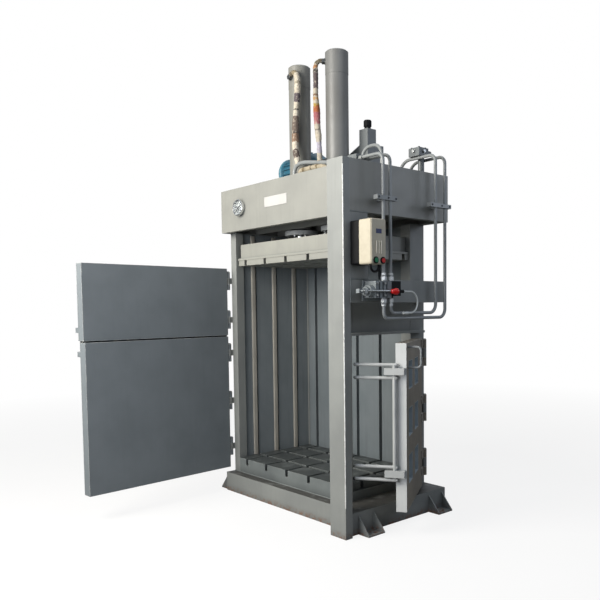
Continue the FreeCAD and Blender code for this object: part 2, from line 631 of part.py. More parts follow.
def make_floor():
    """Floor tray with a grid of raised hollow blocks that leaves the strap grooves free."""
    left, right = "left_tube_right + seat_gap", "chamber_right"
    front, back = "chamber_front", "back_face - seat_gap"
    shell = block("tray_shell", (left, right), (front, back), ("base_height", "tray_top"))
    hollow = block("tray_hollow", inset((left, right), "plate"), inset((front, back), "plate"),
                   ("base_height - 1", "tray_top - plate"))
    blocks, rooms = [], []
    room_z = ("tray_top - plate - 1", "tray_top + block_height - block_sheet")
    for n, across in enumerate(column_edges("wall_face + seat_gap", "chamber_right - board_relief")):
        for m, along in enumerate(row_edges(front, back)):
            blocks.append(block(f"floor_block_{n}_{m}", across, along, ("tray_top", "tray_top + block_height")))
            if n < 5 and m > 0:
                rooms.append(block(f"floor_room_{n}_{m}", inset(across, "block_sheet"),
                                   inset(along, "block_sheet"),
                                   room_z))
    tray = cut("tray_open", shell, [hollow])
    node(cut("floor_grid", fuse("floor_welded", [tray] + blocks),
             rooms + corner_notches("tray_notch", "seat_gap")),
         "floor_grid")


# ---------------------------------------------------------------- platen and cylinders
def make_platen():
    """Platen plate with grid blocks below, and the hollow beam on top that covers their open backs."""
    top = "platen_plate_z + platen_plate_t"
    plate = block("platen_sheet", ("platen_left", "platen_right"), ("platen_front", "platen_back"),
                  ("platen_plate_z", top))
    blocks, rooms = [], []
    low = "platen_plate_z - platen_block_h"
    gap = "(notch_gap / 2)"
    for n, across in enumerate(column_edges("platen_left + block_step", "platen_right - block_step")):
        for m, along in enumerate(row_edges("platen_front + block_step", "platen_back - block_step")):
            blocks.append(block(f"platen_block_{n}_{m}", across, along, (low, "platen_plate_z")))
            if 0 < n < 5 and 0 < m < 3:
                rooms.append(block(f"platen_room_{n}_{m}", inset(across, "block_sheet"),
                                   inset(along, "block_sheet"),
                                   (f"{low} + block_sheet", f"{top} + 1")))
    node(cut("platen_plate", fuse("platen_welded", [plate] + blocks),
             rooms + corner_notches("platen_notch", gap)), "platen_plate")
    left, right = "platen_left + beam_inset", "platen_right - beam_inset"
    front, back = "platen_front + beam_step", "rear_tube_front - notch_gap"
    shell = block("beam_shell", (left, right), (front, back), (top, "beam_top"))
    cells = []
    spots = [left, "cyl_left_x", "cyl_right_x", right]
    for n, span in enumerate(zip(spots, spots[1:])):
        cells.append(block(f"beam_cell_{n}", inset(span, "flange_plate"), inset((front, back), "flange_plate"),
                           inset((top, "beam_top"), "flange_plate")))
    corner = block("beam_notch", ("front_tube_left - notch_gap", "chamber_right"),
                   ("chamber_front", "front_tube_back + notch_gap"), ("0", "post_height"))
    inner = block("beam_notch_wall", ("front_tube_left - notch_gap - flange_plate", "chamber_right"),
                  ("chamber_front", "front_tube_back + notch_gap + flange_plate"), ("0", "post_height"))
    cells[-1] = cut("beam_cell_last", cells[-1], [inner])
    node(cut("platen_beam", shell, cells + [corner]), "platen_beam")


def make_cylinder(side, x):
    """Cylinder tube with deck flange and gland, its cap, rod with piston, and the rod's foot bolts."""
    barrel = turned(f"cylinder_{side}_barrel", "XZ_Plane",
                    [("rod_r + run_gap", "cyl_bottom"), ("cyl_r", "cyl_bottom"), ("cyl_r", "cyl_joint"),
                     ("cyl_bore_r", "cyl_joint"), ("cyl_bore_r", "cyl_bottom + gland_length"),
                     ("rod_r + run_gap", "cyl_bottom + gland_length")])
    place(barrel, x, "cyl_y", "0")
    flange = block(f"cylinder_{side}_flange", (f"{x} - deck_flange / 2", f"{x} + deck_flange / 2"),
                   ("cyl_y - deck_flange / 2", "cyl_y + deck_flange / 2"),
                   ("post_height", "post_height + deck_flange_t"))
    eye = rod(f"cylinder_{side}_eye", "z", "cyl_r - 2", (x, "cyl_y", "post_height - 1"), "deck_flange_t + 2")
    node(fuse(f"cylinder_{side}", [barrel, cut(f"cylinder_{side}_ring", flange, [eye])]), f"cylinder_{side}")
    cap = turned(f"cylinder_cap_{side}", "XZ_Plane",
                 [("0", "cyl_top - cap_plug"), ("cyl_bore_r", "cyl_top - cap_plug"),
                  ("cyl_bore_r", "cyl_joint"),
                  ("cyl_r + cap_step", "cyl_joint"), ("cyl_r + cap_step", "cyl_top - cap_bevel"),
                  ("cyl_r - cap_bevel", "cyl_top"), ("0", "cyl_top")])
    node(place(cap, x, "cyl_y", "0"), f"cylinder_cap_{side}")
    foot = turned(f"press_rod_{side}", "XZ_Plane",
                  [("0", "beam_top"), ("rod_disc_r", "beam_top"), ("rod_disc_r", "beam_top + rod_disc_h"),
                   ("rod_r", "beam_top + rod_disc_h"), ("rod_r", "piston_z"),
                   ("cyl_bore_r - run_gap", "piston_z"), ("cyl_bore_r - run_gap", "piston_z + piston_h"),
                   ("0", "piston_z + piston_h")])
    node(place(foot, x, "cyl_y", "0"), f"press_rod_{side}")


def make_rod_bolts():
    """Hexagon bolt heads around both rod feet."""
    heads = []
    for x in ("cyl_left_x", "cyl_right_x"):
        for step in range(6):
            angle = math.radians(60 * step + 30)
            centre = point(x, "cyl_y", "beam_top + rod_disc_h")
            reach = (val("rod_disc_r") + val("rod_r")) / 2
            spot = centre + V(math.cos(angle), math.sin(angle), 0) * reach
            heads.append(hexagon("z", val("bolt_r"), spot, val("bolt_head")))
    node(feature("rod_foot_bolts", Part.makeCompound(heads)), "rod_foot_bolts")


# ---------------------------------------------------------------- doors
def hinge_knuckles(tag, z, height, radius, web, side):
    """Upper and lower knuckles with their webs; z is the middle of the hinge."""
    third = f"({height} / 3 - end_play / 2)"
    parts = []
    for end, low in (("low", f"{z} - {height} / 2"), ("high", f"{z} + {height} / 6 + end_play / 2")):
        round_part = rod(f"{tag}_{end}_eye", "z", radius, ("0", "0", low), third)
        strap = block(f"{tag}_{end}_strap", ("0", web), side, (low, f"{low} + {third}"))
        parts += [round_part, strap]
    return parts


def make_front_door(label, z, height, rows, hinges, angle):
    """Front door in its own axes: hinge line at the origin, closed along +X, then turned open."""
    x = ("hinge_gap", "hinge_gap + door_width")
    face = ("door_inner - door_thick", "door_inner")
    slab = block(label + "_slab", x, face, (z, f"{z} + {height}"))
    wide = "((door_width - door_rib) / 4)"
    tall = f"(({height} - door_rib) / {rows})"
    cells = []
    for column in range(4):
        for row in range(rows):
            low_x = f"hinge_gap + door_rib + {column} * {wide}"
            low_z = f"{z} + door_rib + {row} * {tall}"
            cells.append(block(f"{label}_cell_{column}_{row}", (low_x, f"{low_x} + {wide} - door_rib"),
                               (f"{face[0]} - 1", "door_inner - door_skin"),
                               (low_z, f"{low_z} + {tall} - door_rib")))
    knuckles = []
    for n, middle in enumerate(hinges):
        knuckles += hinge_knuckles(f"{label}_hinge_{n}", middle, "hinge_height", "knuckle_r", "hinge_gap",
                                   ("0 - leaf_thick / 2", "leaf_thick / 2"))
    bore = rod(label + "_bore", "z", "pin_r + run_gap", ("0", "0", z), height)
    lug_z = f"{z} + {height} - door_lug_drop" if label.startswith("lower") else f"{z} + door_lug_rise"
    edge = "hinge_gap + door_width"
    outside = "door_inner - door_thick"
    lug = block(label + "_lug", (f"{edge} - door_lug_length", edge),
                (f"{outside} - door_lug_reach", outside), (lug_z, f"{lug_z} + door_lug_height"))
    eye = rod(label + "_lug_eye", "z", "foot_bolt_r",
              (f"{edge} - lug_eye_in", f"{outside} - lug_eye_out", f"{lug_z} - 1"),
              "door_lug_height + 2")
    middle = f"{z} + {height} / 2"
    grip = [point(f"{edge} - pull_in", y, end) for y, end in
            ((f"{outside} + 1", f"{middle} - pull_half"), (f"{outside} - pull_reach", f"{middle} - pull_half"),
             (f"{outside} - pull_reach", f"{middle} + pull_half"), (f"{outside} + 1", f"{middle} + pull_half"))]
    pull = feature(label + "_pull", swept(grip, [val("pull_bend")] * 2, val("handle_r")))
    pad_plate = block(label + "_pull_plate", inset((f"{edge} - pull_in", f"{edge} - pull_in"),
                                                   "(0 - pull_plate_half)"),
                      (outside, f"{outside} + door_rib"), inset((middle, middle), "(0 - pull_plate_tall)"))
    door = cut(label, fuse(label + "_welded", [cut(label + "_ribbed", slab, cells), pad_plate, lug,
                                               pull] + knuckles),
               [bore, eye])
    return turn_open(node(door, label), "hinge_x", "hinge_y", angle)


def turn_open(obj, x, y, angle):
    """Places a piece drawn about a vertical hinge line and swings it open to the front."""
    obj.Placement = FreeCAD.Placement(V(), FreeCAD.Rotation(V(0, 0, -1), val(angle)))
    place(obj, x, y, "0")
    return bind(obj, "Placement.Rotation.Angle", angle)


def hinge_set(tag, x, y, heights, height, leaf_x, leaf_y):
    """Frame-side knuckles with leaves, and headed pins, of one hinge line."""
    leaves, pins = [], []
    for n, z in enumerate(heights):
        low = f"{z} - {height} / 6 + end_play / 2"
        tall = f"({height} / 3 - end_play)"
        eye = rod(f"{tag}_eye_{n}", "z", "knuckle_r", (x, y, low), tall)
        leaf = block(f"{tag}_leaf_{n}", leaf_x, leaf_y, (low, f"{low} + {tall}"))
        bore = rod(f"{tag}_bore_{n}", "z", "pin_r + run_gap", (x, y, f"{low} - 1"), f"{tall} + 2")
        leaves.append(cut(f"{tag}_leaf_bored_{n}", fuse(f"{tag}_leaf_welded_{n}", [eye, leaf]), [bore]))
        pin = rod(f"{tag}_pin_{n}", "z", "pin_r", (x, y, f"{z} - {height} / 2"), f"{height} + end_play")
        head = rod(f"{tag}_pin_head_{n}", "z", "pin_r + pin_head_step",
                   (x, y, f"{z} + {height} / 2 + end_play / 2"), "pin_head")
        pins.append(fuse(f"{tag}_pin_whole_{n}", [pin, head]))
    return leaves, pins


def make_hinges():
    """Leaves and pins of the five front hinges and the three side hinges."""
    front = hinge_set("front", "hinge_x", "hinge_y",
                      ("lower_hinge_a", "lower_hinge_b", "lower_hinge_c", "upper_hinge_a", "upper_hinge_b"),
                      "hinge_height", ("hinge_x", "0 - half_width"), ("hinge_y", "front_tube_back - leaf_in"))
    side = hinge_set("side", "side_x", "side_y", ("side_hinge_a", "side_hinge_b", "side_hinge_c"),
                     "side_hinge_height", ("chamber_right", "side_x"),
                     ("side_y - leaf_thick / 2", "side_y + leaf_thick / 2"))
    node(group("hinge_leaves", front[0] + side[0]), "hinge_leaves")
    node(group("hinge_pins", front[1] + side[1]), "hinge_pins")


def make_side_door():
    """Side door in its own axes: hinge line at the origin, closed along +X, outer face to +Y."""
    x = ("side_gap", "side_width")
    y = ("0 - side_offset - side_thick", "0 - side_offset")
    z = ("side_z", "side_z + side_height")
    slab = block("side_slab", x, y, z)
    hollow = block("side_hollow", (f"{x[0]} + side_sheet", f"{x[1]} - side_sheet"),
                   (f"{y[0]} + side_sheet", f"{y[1]} - side_sheet"),
                   (f"{z[0]} + side_sheet", f"{z[1]} - side_sheet"))
    slots = []
    for row in range(3):
        for column in range(2):
            low_x = f"window_first + {column} * window_pitch"
            low_z = f"window_low + {row} * window_step"
            slots.append(block(f"side_window_{row}_{column}", (low_x, f"{low_x} + window_width"),
                               (f"{y[1]} - side_sheet - 1", "1"), (low_z, f"{low_z} + window_height")))
    knuckles = []
    for n, middle in enumerate(("side_hinge_a", "side_hinge_b", "side_hinge_c")):
        knuckles += hinge_knuckles(f"side_hinge_{n}", middle, "side_hinge_height", "knuckle_r",
                                   "side_gap + side_web", ("0 - side_offset", "side_web_thick - side_offset"))
    bore = rod("side_bore", "z", "pin_r + run_gap", ("0", "0", "side_z"), "side_height")
    body = cut("side_door", fuse("side_welded", [cut("side_open_box", slab, [hollow] + slots)] + knuckles),
               [bore])
    turn_open(node(body, "side_door"), "side_x", "side_y", "90 - side_open")
    path = [V(val("side_width - handle_in"), val(y[1]), val("handle_z - handle_span / 2")),
            V(val("side_width - handle_in"), val(y[1]) + val("handle_reach"),
              val("handle_z - handle_span / 2")),
            V(val("side_width - handle_in"), val(y[1]) + val("handle_reach"),
              val("handle_z + handle_span / 2")),
            V(val("side_width - handle_in"), val(y[1]), val("handle_z + handle_span / 2"))]
    handle = feature("side_handle", swept(path, [val("handle_bend")] * 2, val("handle_r")))
    turn_open(node(handle, "side_handle"), "side_x", "side_y", "90 - side_open")
    lugs = []
    for name, low in (("low", "lug_low_z"), ("high", "lug_high_z")):
        bar = block(f"lug_{name}", ("side_width", "side_width + lug_thick"),
                    ("0 - side_offset - lug_inset - lug_length", "0 - side_offset - lug_inset"),
                    (low, f"{low} + lug_height"))
        hole = rod(f"lug_hole_{name}", "z", "rod_latch_r + run_gap", ("latch_x", "latch_y", f"{low} - 1"),
                   "lug_height + 2")
        lugs.append(cut(f"lug_bored_{name}", bar, [hole]))
    turn_open(node(group("latch_lugs", lugs), "latch_lugs"), "side_x", "side_y", "90 - side_open")


def make_latch():
    """Side door latch: an upright bar turning in two lugs, with two round prongs at each lug."""
    x, y = val("latch_x"), val("latch_y")
    half = val("hook_span") / 2
    radius = val("hook_r")
    low_middle = val("lug_low_z + lug_height / 2")
    high_middle = val("lug_high_z + lug_height / 2")
    bar = Part.makeCylinder(val("rod_latch_r"), high_middle - low_middle + 2 * half, V(x, y, low_middle - half))
    parts = [bar]
    for middle in (low_middle, high_middle):
        for level in (middle - half, middle + half):
            tail = V(x, y + val("hook_tail"), level)
            tip = V(x, y - val("hook_length"), level)
            parts.append(Part.makeCylinder(radius, (tip - tail).Length, tail, tip - tail))
            parts += [Part.makeSphere(radius, tail), Part.makeSphere(radius, tip)]
    whole = parts[0].multiFuse(parts[1:]).removeSplitter()
    turn_open(node(feature("side_latch", whole.Solids[0]), "side_latch"), "side_x", "side_y", "90 - side_open")


# ---------------------------------------------------------------- control box
def make_control_box():
    """Push button box: back half, hollow front half, two plungers and the cable loop below."""
    y = ("box_left", "box_left + box_width")
    z = ("box_z", "box_z + box_height")
    split = "half_width + box_base_depth"

    def rounded(name, x, inset, length):
        body = padded(name, "YZ_Plane", [box_loop(f"{y[0]} + {inset}", f"{y[1]} - {inset}",
                                                  f"{z[0]} + {inset}", f"{z[1]} - {inset}")], length)
        bind(body, "Placement.Base.x", x)
        return body

    back = rounded("control_box_back", "half_width", "box_inset", "box_base_depth")
    ease_edges(back, "box_round")
    node(back, "control_box_back")
    shell = rounded("control_cover_outer", split, "0", "box_cover_depth")
    eased = ease_edges(shell, "box_round")
    bevel = shell.newObject("PartDesign::Chamfer", "control_cover_bevel")
    face = max(eased.Shape.Faces, key=lambda item: item.CenterOfMass.x)
    bevel.Base = (eased, edges_of(eased.Shape, face))
    bind(bevel, "Size", "box_bevel")
    shell.Tip = bevel
    room = block("control_cover_room", (f"{split} - 1", "box_front - box_wall"),
                 inset(y, "(box_wall + box_inset)"), inset(z, "(box_wall + box_inset)"))
    holes, rings = [], []
    for name, spot in button_spots():
        holes.append(rod(f"button_hole_{name}", "x", "button_r + button_gap",
                         ("box_front - button_room", spot, "box_z + button_low"), "button_room * 2"))
        outer = rod(f"button_ring_{name}", "x", "button_r + ring_wall",
                    ("box_front - 1", spot, "box_z + button_low"), "ring_proud + 1")
        rings.append(outer)
    node(cut("control_box_cover", fuse("control_cover_welded",
                                       [cut("control_cover_shell", shell, [room])] + rings),
             holes), "control_box_cover")
    for name, spot in button_spots():
        stem = rod(f"{name}_stem", "x", "button_r", ("box_front - stem_length", spot, "box_z + button_low"),
                   "stem_length + button_out")
        collar = rod(f"{name}_collar", "x", "button_r + collar_wall",
                     ("box_front - stem_length", spot, "box_z + button_low"),
                     "stem_length - box_wall - button_gap")
        node(fuse(name, [stem, collar]), name)
    gland_z = val("box_z")
    middle = point("(half_width + box_front) / 2 + cable_side", "box_left + box_width / 2", "box_z")
    reach = val("cable_loop_r")
    start = middle + V(0, -reach, 0)
    end = middle + V(0, reach, 0)
    down = V(0, 0, -val("cable_drop") - reach)
    cable = swept([start, start + down, end + down, end], [reach - val("loop_ease")] * 2, val("cable_r"))
    glands = [hexagon("z", val("cable_gland_r"), V(spot.x, spot.y, gland_z - val("cable_gland_h")),
                      val("cable_gland_h")) for spot in (start, end)]
    node(feature("control_cable", cable.multiFuse(glands).Solids[0]), "control_cable")


def button_spots():
    """Names and Y expressions of the two buttons."""
    right = "box_left + box_width - button_edge"
    return (("green_button", f"{right} - button_pitch"), ("red_button", right))


def ease_edges(body, radius):
    """Rounds the edges of a body's pad that run along its depth."""
    pad = body.Tip
    doc.recompute()
    names = edges_along(pad.Shape, V(1, 0, 0))
    eased = body.newObject("PartDesign::Fillet", body.Name + "_round")
    eased.Base = (pad, names)
    bind(eased, "Radius", radius)
    body.Tip = eased
    doc.recompute()
    return eased


def edges_along(shape, direction):
    """Names of the straight edges that run along a direction."""
    names = []
    for index, edge in enumerate(shape.Edges, start=1):
        if isinstance(edge.Curve, Part.Line) and abs(edge.Curve.Direction.dot(direction)) > 0.999:
            names.append(f"Edge{index}")
    return names


def edges_of(shape, face):
    """Names of the edges of one face."""
    return [f"Edge{index}" for index, edge in enumerate(shape.Edges, start=1)
            if any(edge.isSame(other) for other in face.Edges)]


# ---------------------------------------------------------------- valve and tubes
def make_valve():
    """Hand valve on the side beam: bracket, ribbed body, spool cap, fork and end block."""
    body = block("valve_block", ("half_width + valve_bracket", "valve_front"), ("valve_left", "valve_right"),
                 ("valve_low", "valve_high"))
    grooves = [block(f"valve_groove_{n}", ("valve_front - groove_depth", "valve_front + 1"),
                     (f"valve_left + groove_first + {n} * groove_pitch",
                      f"valve_left + groove_first + {n} * groove_pitch + groove_width"),
                     ("valve_low - 1", "valve_high + 1"))
               for n in range(3)]
    bracket = block("valve_plate", ("half_width", "half_width + valve_bracket"),
                    ("valve_left - bracket_side", "valve_right + bracket_side"),
                    ("valve_low - bracket_low", "valve_high + bracket_high"))
    cap = rod("valve_cap", "y", "spool_cap_r", ("tube_x - spool_back", "valve_left - spool_cap_l", "lever_z"),
              "spool_cap_l + weld_in")
    ring = rod("valve_ring", "y", "spool_ring_r",
               ("tube_x - spool_back", "valve_left - spool_cap_l - spool_ring_l", "lever_z"),
               "spool_ring_l + weld_in")
    arm = block("valve_fork", ("tube_x - fork_back", "tube_x + fork_front"),
                ("lever_pivot_y - fork_over", "valve_left - fork_in"),
                ("lever_z - fork_half", "lever_z + fork_half"))
    pin = rod("valve_pin", "x", "pin_r - pin_step", ("tube_x", "lever_pivot_y", "lever_z"),
              "lever_x + pin_over - tube_x")
    ports = [rod("valve_port_top", "z", "nut_r", ("tube_x", "tube_1_y", "valve_high - 1"), "port_rise + 1"),
             rod("valve_port_low", "z", "nut_r", ("tube_x", "tube_1_y", "valve_low - port_fall"),
                 "port_fall + 1")]
    whole = fuse("valve_whole", [cut("valve_ribbed", body, grooves), bracket, cap, ring, arm, pin] + ports)
    node(whole, "valve_body")
    coil = block("valve_end_block", ("half_width + valve_bracket", "valve_front - coil_in"),
                 ("valve_right", "coil_right"),
                 ("valve_low + coil_rise", "valve_high + coil_over"))
    knob = rod("valve_end_cap", "y", "end_cap_r", ("hose_x", "coil_right - 1", "lever_z"), "end_cap_l + 1")
    ears = [rod("end_port_top", "z", "nut_r - 2", ("tube_x", "tube_2_y", "valve_high + 1"), "12"),
            rod("end_port_low", "z", "nut_r - 2", ("tube_x", "tube_2_y", "valve_low"), "15")]
    node(fuse("valve_end", [coil, knob] + ears), "valve_end")


def make_lever():
    """Hand lever: eye on the fork pin, round bar and tapered knob."""
    x, y, z = val("lever_x"), val("lever_pivot_y"), val("lever_z")
    radius = val("lever_r")
    reach = val("lever_reach")
    eye = Part.makeCylinder(val("eye_r"), val("eye_l"), V(x - val("eye_l") / 2, y, z), V(1, 0, 0))
    bar = Part.makeCylinder(radius, reach, V(x, y + val("bar_in"), z), V(0, 1, 0))
    knob = Part.makeCone(val("knob_r") * 0.6, val("knob_r"), val("knob_length") * 0.6, V(x, y + reach, z),
                         V(0, 1, 0))
    end = Part.makeCone(val("knob_r"), val("knob_r") * 0.7, val("knob_length") * 0.4,
                        V(x, y + reach + val("knob_length") * 0.6, z), V(0, 1, 0))
    bore = Part.makeCylinder(val("pin_r - pin_step + run_gap"), 20, V(x - 10, y, z), V(1, 0, 0))
    node(feature("valve_lever", eye.fuse(bar).cut(bore).removeSplitter().Solids[0]), "valve_lever")
    grip = knob.fuse(end).cut(Part.makeCylinder(radius, reach + 12, V(x, y, z), V(0, 1, 0))).removeSplitter()
    node(feature("lever_knob", grip.Solids[0]), "lever_knob")


def tube_node(name, label, points, bends, nuts):
    """Steel tube with hexagon nuts at its ends."""
    shape = swept(points, bends, val("tube_r"), val("tube_bore"))
    for axis, start in nuts:
        length = val("nut_h")
        hexed = hexagon(axis, val("nut_r"), start, length)
        heading = {"x": V(1, 0, 0), "z": V(0, 0, 1)}[axis]
        hexed = hexed.cut(Part.makeCylinder(val("tube_r") - 1, length, start, heading))
        shape = shape.fuse(hexed)
    node(feature(name, shape.removeSplitter().Solids[0]), label)


def make_tubes():
    """Four tubes: two from the deck block to the valve top, two from the rear over the edge to its foot."""
    x = val("tube_x")
    bend = val("tube_bend")
    block_x = val("half_width - block_back")
    top = val("valve_high + port_rise")
    for number, y, z, floor in ((1, val("tube_1_y"), val("top_run_z"), top),
                                (2, val("tube_2_y"), val("top_run_z"), top + 2)):
        tube_node(f"tube_{number}", f"tube_{number}",
                  [V(block_x, y, z), V(x, y, z), V(x, y, floor)], [bend],
                  [("x", V(block_x, y, z)), ("z", V(x, y, floor))])
    deck = val("post_height")
    start_x = val("relief_x") - 115
    run = val("rear_run_z")
    for number, y, end_y, run_z, foot in ((3, val("tube_3_y"), val("tube_2_y"), val("run_3_z"),
                                           val("valve_low")),
                                          (4, val("tube_4_y"), val("tube_1_y"), val("run_4_z"),
                                           val("valve_low - port_fall"))):
        tube_node(f"tube_{number}", f"tube_{number}",
                  [V(start_x, y, deck), V(start_x, y, run), V(x, y, run), V(x, y, run_z), V(x, end_y, run_z),
                   V(x, end_y, foot)], [val("rear_bend"), bend, bend + 10, bend - 15],
                  [("z", V(start_x, y, deck)), ("z", V(x, end_y, foot - val("nut_h")))])


def make_clamps():
    """Bored clamp bars with a stand-off to the head side, one for each pair of tubes."""
    clamps = []
    for label, first, second in (("front_clamp", "tube_1_y", "tube_2_y"),
                                 ("rear_clamp", "tube_3_y", "tube_4_y")):
        z = ("clamp_z", "clamp_z + clamp_height")
        bar = block(label + "_bar", ("tube_x - clamp_depth / 2", "tube_x + clamp_depth / 2"),
                    (f"{first} - clamp_overhang", f"{second} + clamp_overhang * 0.7"), z)
        stem = block(label + "_stem", ("half_width", "tube_x - clamp_depth / 2"),
                     (f"({first} + {second}) / 2 - 15", f"({first} + {second}) / 2 + 15"), z)
        bores = [rod(f"{label}_bore_{n}", "z", "tube_r + seat_gap", ("tube_x", y, "clamp_z - 1"),
                     "clamp_height + 2")
                 for n, y in enumerate((first, second))]
        clamps.append(cut(label, fuse(label + "_welded", [bar, stem]), bores))
    return node(group("tube_clamps", clamps), "tube_clamps")


def make_pilot_hose():
    """Thin hose that loops from the end block's cap down to the tube below it."""
    x = val("hose_x")
    start = V(x, val("coil_right") + 37, val("lever_z"))
    low = val("run_3_z")
    far = val("coil_right") + 188
    end = V(x, val("coil_right") + 45, low)
    loop = swept([start, V(x, far, val("lever_z")), V(x, far, low), end],
                 [(val("lever_z") - low) / 2 - 1, (val("lever_z") - low) / 2 - 1], val("hose_r"))
    ferrule = Part.makeCylinder(10, 52, V(x, end.y - 10, low), V(0, 1, 0))
    saddle = Part.makeBox(val("hose_x - tube_x"), 24, 18, V(val("tube_x"), end.y - 2, low - 9))
    saddle = saddle.cut(Part.makeCylinder(val("tube_r + seat_gap"), 60, V(val("tube_x"), end.y - 20, low),
                                          V(0, 1, 0)))
    cap = Part.makeCylinder(9, 16, V(x, start.y, start.z), V(0, 1, 0))
    whole = loop.multiFuse([ferrule, saddle, cap]).removeSplitter()
    node(feature("pilot_hose", whole.Solids[0]), "pilot_hose")


# ---------------------------------------------------------------- things on the head
def motor_fins():
    """Cooling fins all round the motor body."""
    length, low, high = val("motor_length * 0.7"), val("motor_r * 0.8"), val("motor_r * 0.95")
    thick = val("fin_thick")
    start = point("motor_left + cowl_length + seat_gap", "motor_y", "motor_axis_z")
    fins = []
    for step in range(FIN_COUNT):
        fin = Part.makeBox(length, thick, high - low, V(0, -thick / 2, low))
        fin.rotate(V(), V(1, 0, 0), 360 / FIN_COUNT * step)
        fin.translate(start)
        fins.append(fin)
    return feature("motor_fins", Part.makeCompound(fins))


def lying(body, x):
    """Turns a piece drawn about +Z so that it lies along +X on the motor axis."""
    body.Placement = FreeCAD.Placement(V(), AXES["x"])
    return place(body, x, "motor_y", "motor_axis_z")


def make_power_pack():
    """Electric motor with fins, feet, terminal box and fan cowl, and the pump on its front flange."""
    body = lying(turned("motor_body", "XZ_Plane",
                        [("0", "0"), ("motor_r * 0.82", "0"), ("motor_r * 0.82", "motor_length * 0.72"),
                         ("motor_r", "motor_length * 0.72"), ("motor_r", "motor_length * 0.78"),
                         ("motor_r * 0.5", "motor_length"), ("0", "motor_length")]),
                         "motor_left + cowl_length + seat_gap")
    rail_top = "post_height + rail_height"
    across = inset(("motor_y", "motor_y"), "(0 - leg_half)")
    legs = [block(f"motor_leg_{n}", (low, f"{low} + leg_length"), across,
                  (rail_top, "motor_axis_z - motor_r * 0.6"))
            for n, low in enumerate(("motor_left + leg_first", "motor_left + leg_first + leg_pitch"))]
    terminal_x = "motor_left + terminal_first"
    terminal = block("motor_terminal", (terminal_x, f"{terminal_x} + terminal_length"),
                     inset(("motor_y", "motor_y"), "(0 - terminal_half)"),
                     ("motor_axis_z + motor_r * 0.7", "motor_axis_z + motor_r + terminal_rise"))
    node(fuse("motor", [body, motor_fins(), terminal] + legs), "motor")
    cowl = turned("fan_cowl", "XZ_Plane",
                  [("0", "0"), ("motor_r * 0.55", "0"), ("motor_r * 0.9", "18"), ("motor_r + 4", "50"),
                   ("motor_r + 4", "cowl_length"), ("0", "cowl_length")])
    node(lying(cowl, "motor_left"), "fan_cowl")
    front = "motor_left + cowl_length + seat_gap + motor_length"
    pump = lying(turned("pump_body", "XZ_Plane",
                        [("0", "0"), ("motor_r * 0.5", "0"), ("motor_r * 0.5", "pump_flange"),
                         ("pump_r", "pump_flange"),
                         ("pump_r", "pump_length - pump_nose"), ("pump_r - pump_nose", "pump_length"),
                         ("0", "pump_length")]), front)
    leg = block("pump_leg", (f"{front} + pump_leg_x", f"{front} + pump_leg_x + pump_leg_thick"),
                inset(("motor_y", "motor_y"), "(0 - pump_leg_half)"),
                (rail_top, "motor_axis_z - pump_leg_drop"))
    node(fuse("pump", [pump, leg]), "pump")


def tank_outline(wall):
    """Corners of the tank seen from the front, moved inwards by one wall."""
    left, right = f"tank_x + {wall}", f"tank_x + tank_length - {wall}"
    neck = f"tank_x + tank_length - neck_side + {wall}"
    low, high = f"post_height + {wall}", f"post_height + neck_height - {wall}"
    shoulder = f"post_height + tank_height + tank_slope / 2 - {wall}"
    return [(left, low), (right, low), (right, high), (neck, high), (neck, shoulder),
            (left, f"{shoulder} - tank_slope")]


def make_tank():
    """Sheet oil tank with a sloping shoulder and a square neck, and its filler."""
    neck_back = "tank_y + neck_side"
    shells = []
    for name, wall in (("tank_shell", "0"), ("tank_room", "tank_wall")):
        solid = padded(name, "XZ_Plane", [tank_outline(wall)], f"tank_depth - 2 * {wall}")
        bind(solid, "Placement.Base.y", f"tank_y + tank_depth - {wall}")
        back = block(name + "_back", ("tank_x", "tank_x + tank_length + 1"),
                     (f"{neck_back} - {wall}", "tank_y + tank_depth + 1"),
                     (f"post_height + tank_height + tank_slope / 2 - {wall}", "post_height + neck_height + 1"))
        shells.append(cut(name + "_stepped", solid, [back]))
    spot = ("tank_x + tank_length - neck_side / 2", "tank_y + neck_side / 2")
    mouth = rod("tank_mouth", "z", "filler_r - mouth_step", (*spot, "post_height + neck_height - mouth_depth"),
                "mouth_depth + 1")
    node(cut("oil_tank", shells[0], [shells[1], mouth]), "oil_tank")
    cap = turned("filler_cap", "XZ_Plane",
                 [("0", "0"), ("filler_r - 6", "0"), ("filler_r - 6", "filler_h * 0.3"),
                  ("filler_r", "filler_h * 0.35"),
                  ("filler_r", "filler_h * 0.9"), ("filler_r - 5", "filler_h"), ("0", "filler_h")])
    node(place(cap, *spot, "post_height + neck_height"), "filler_cap")


def make_return_arch():
    """Arched pipe on the deck in front of the tank, with a nut at each foot."""
    deck, top = val("post_height"), val("post_height + arch_rise")
    y = val("tank_y - arch_gap")
    spots = (val("arch_left"), val("arch_left + arch_span"))
    bend = val("arch_bend")
    arch = swept([V(spots[0], y, deck), V(spots[0], y, top), V(spots[1], y, top), V(spots[1], y, deck)],
                 [bend, bend], val("arch_r"))
    feet = [hexagon("z", val("arch_r + arch_nut_wall"), V(spot, y, deck), val("foot_nut_h")) for spot in spots]
    node(feature("return_arch", arch.multiFuse(feet).removeSplitter().Solids[0]), "return_arch")


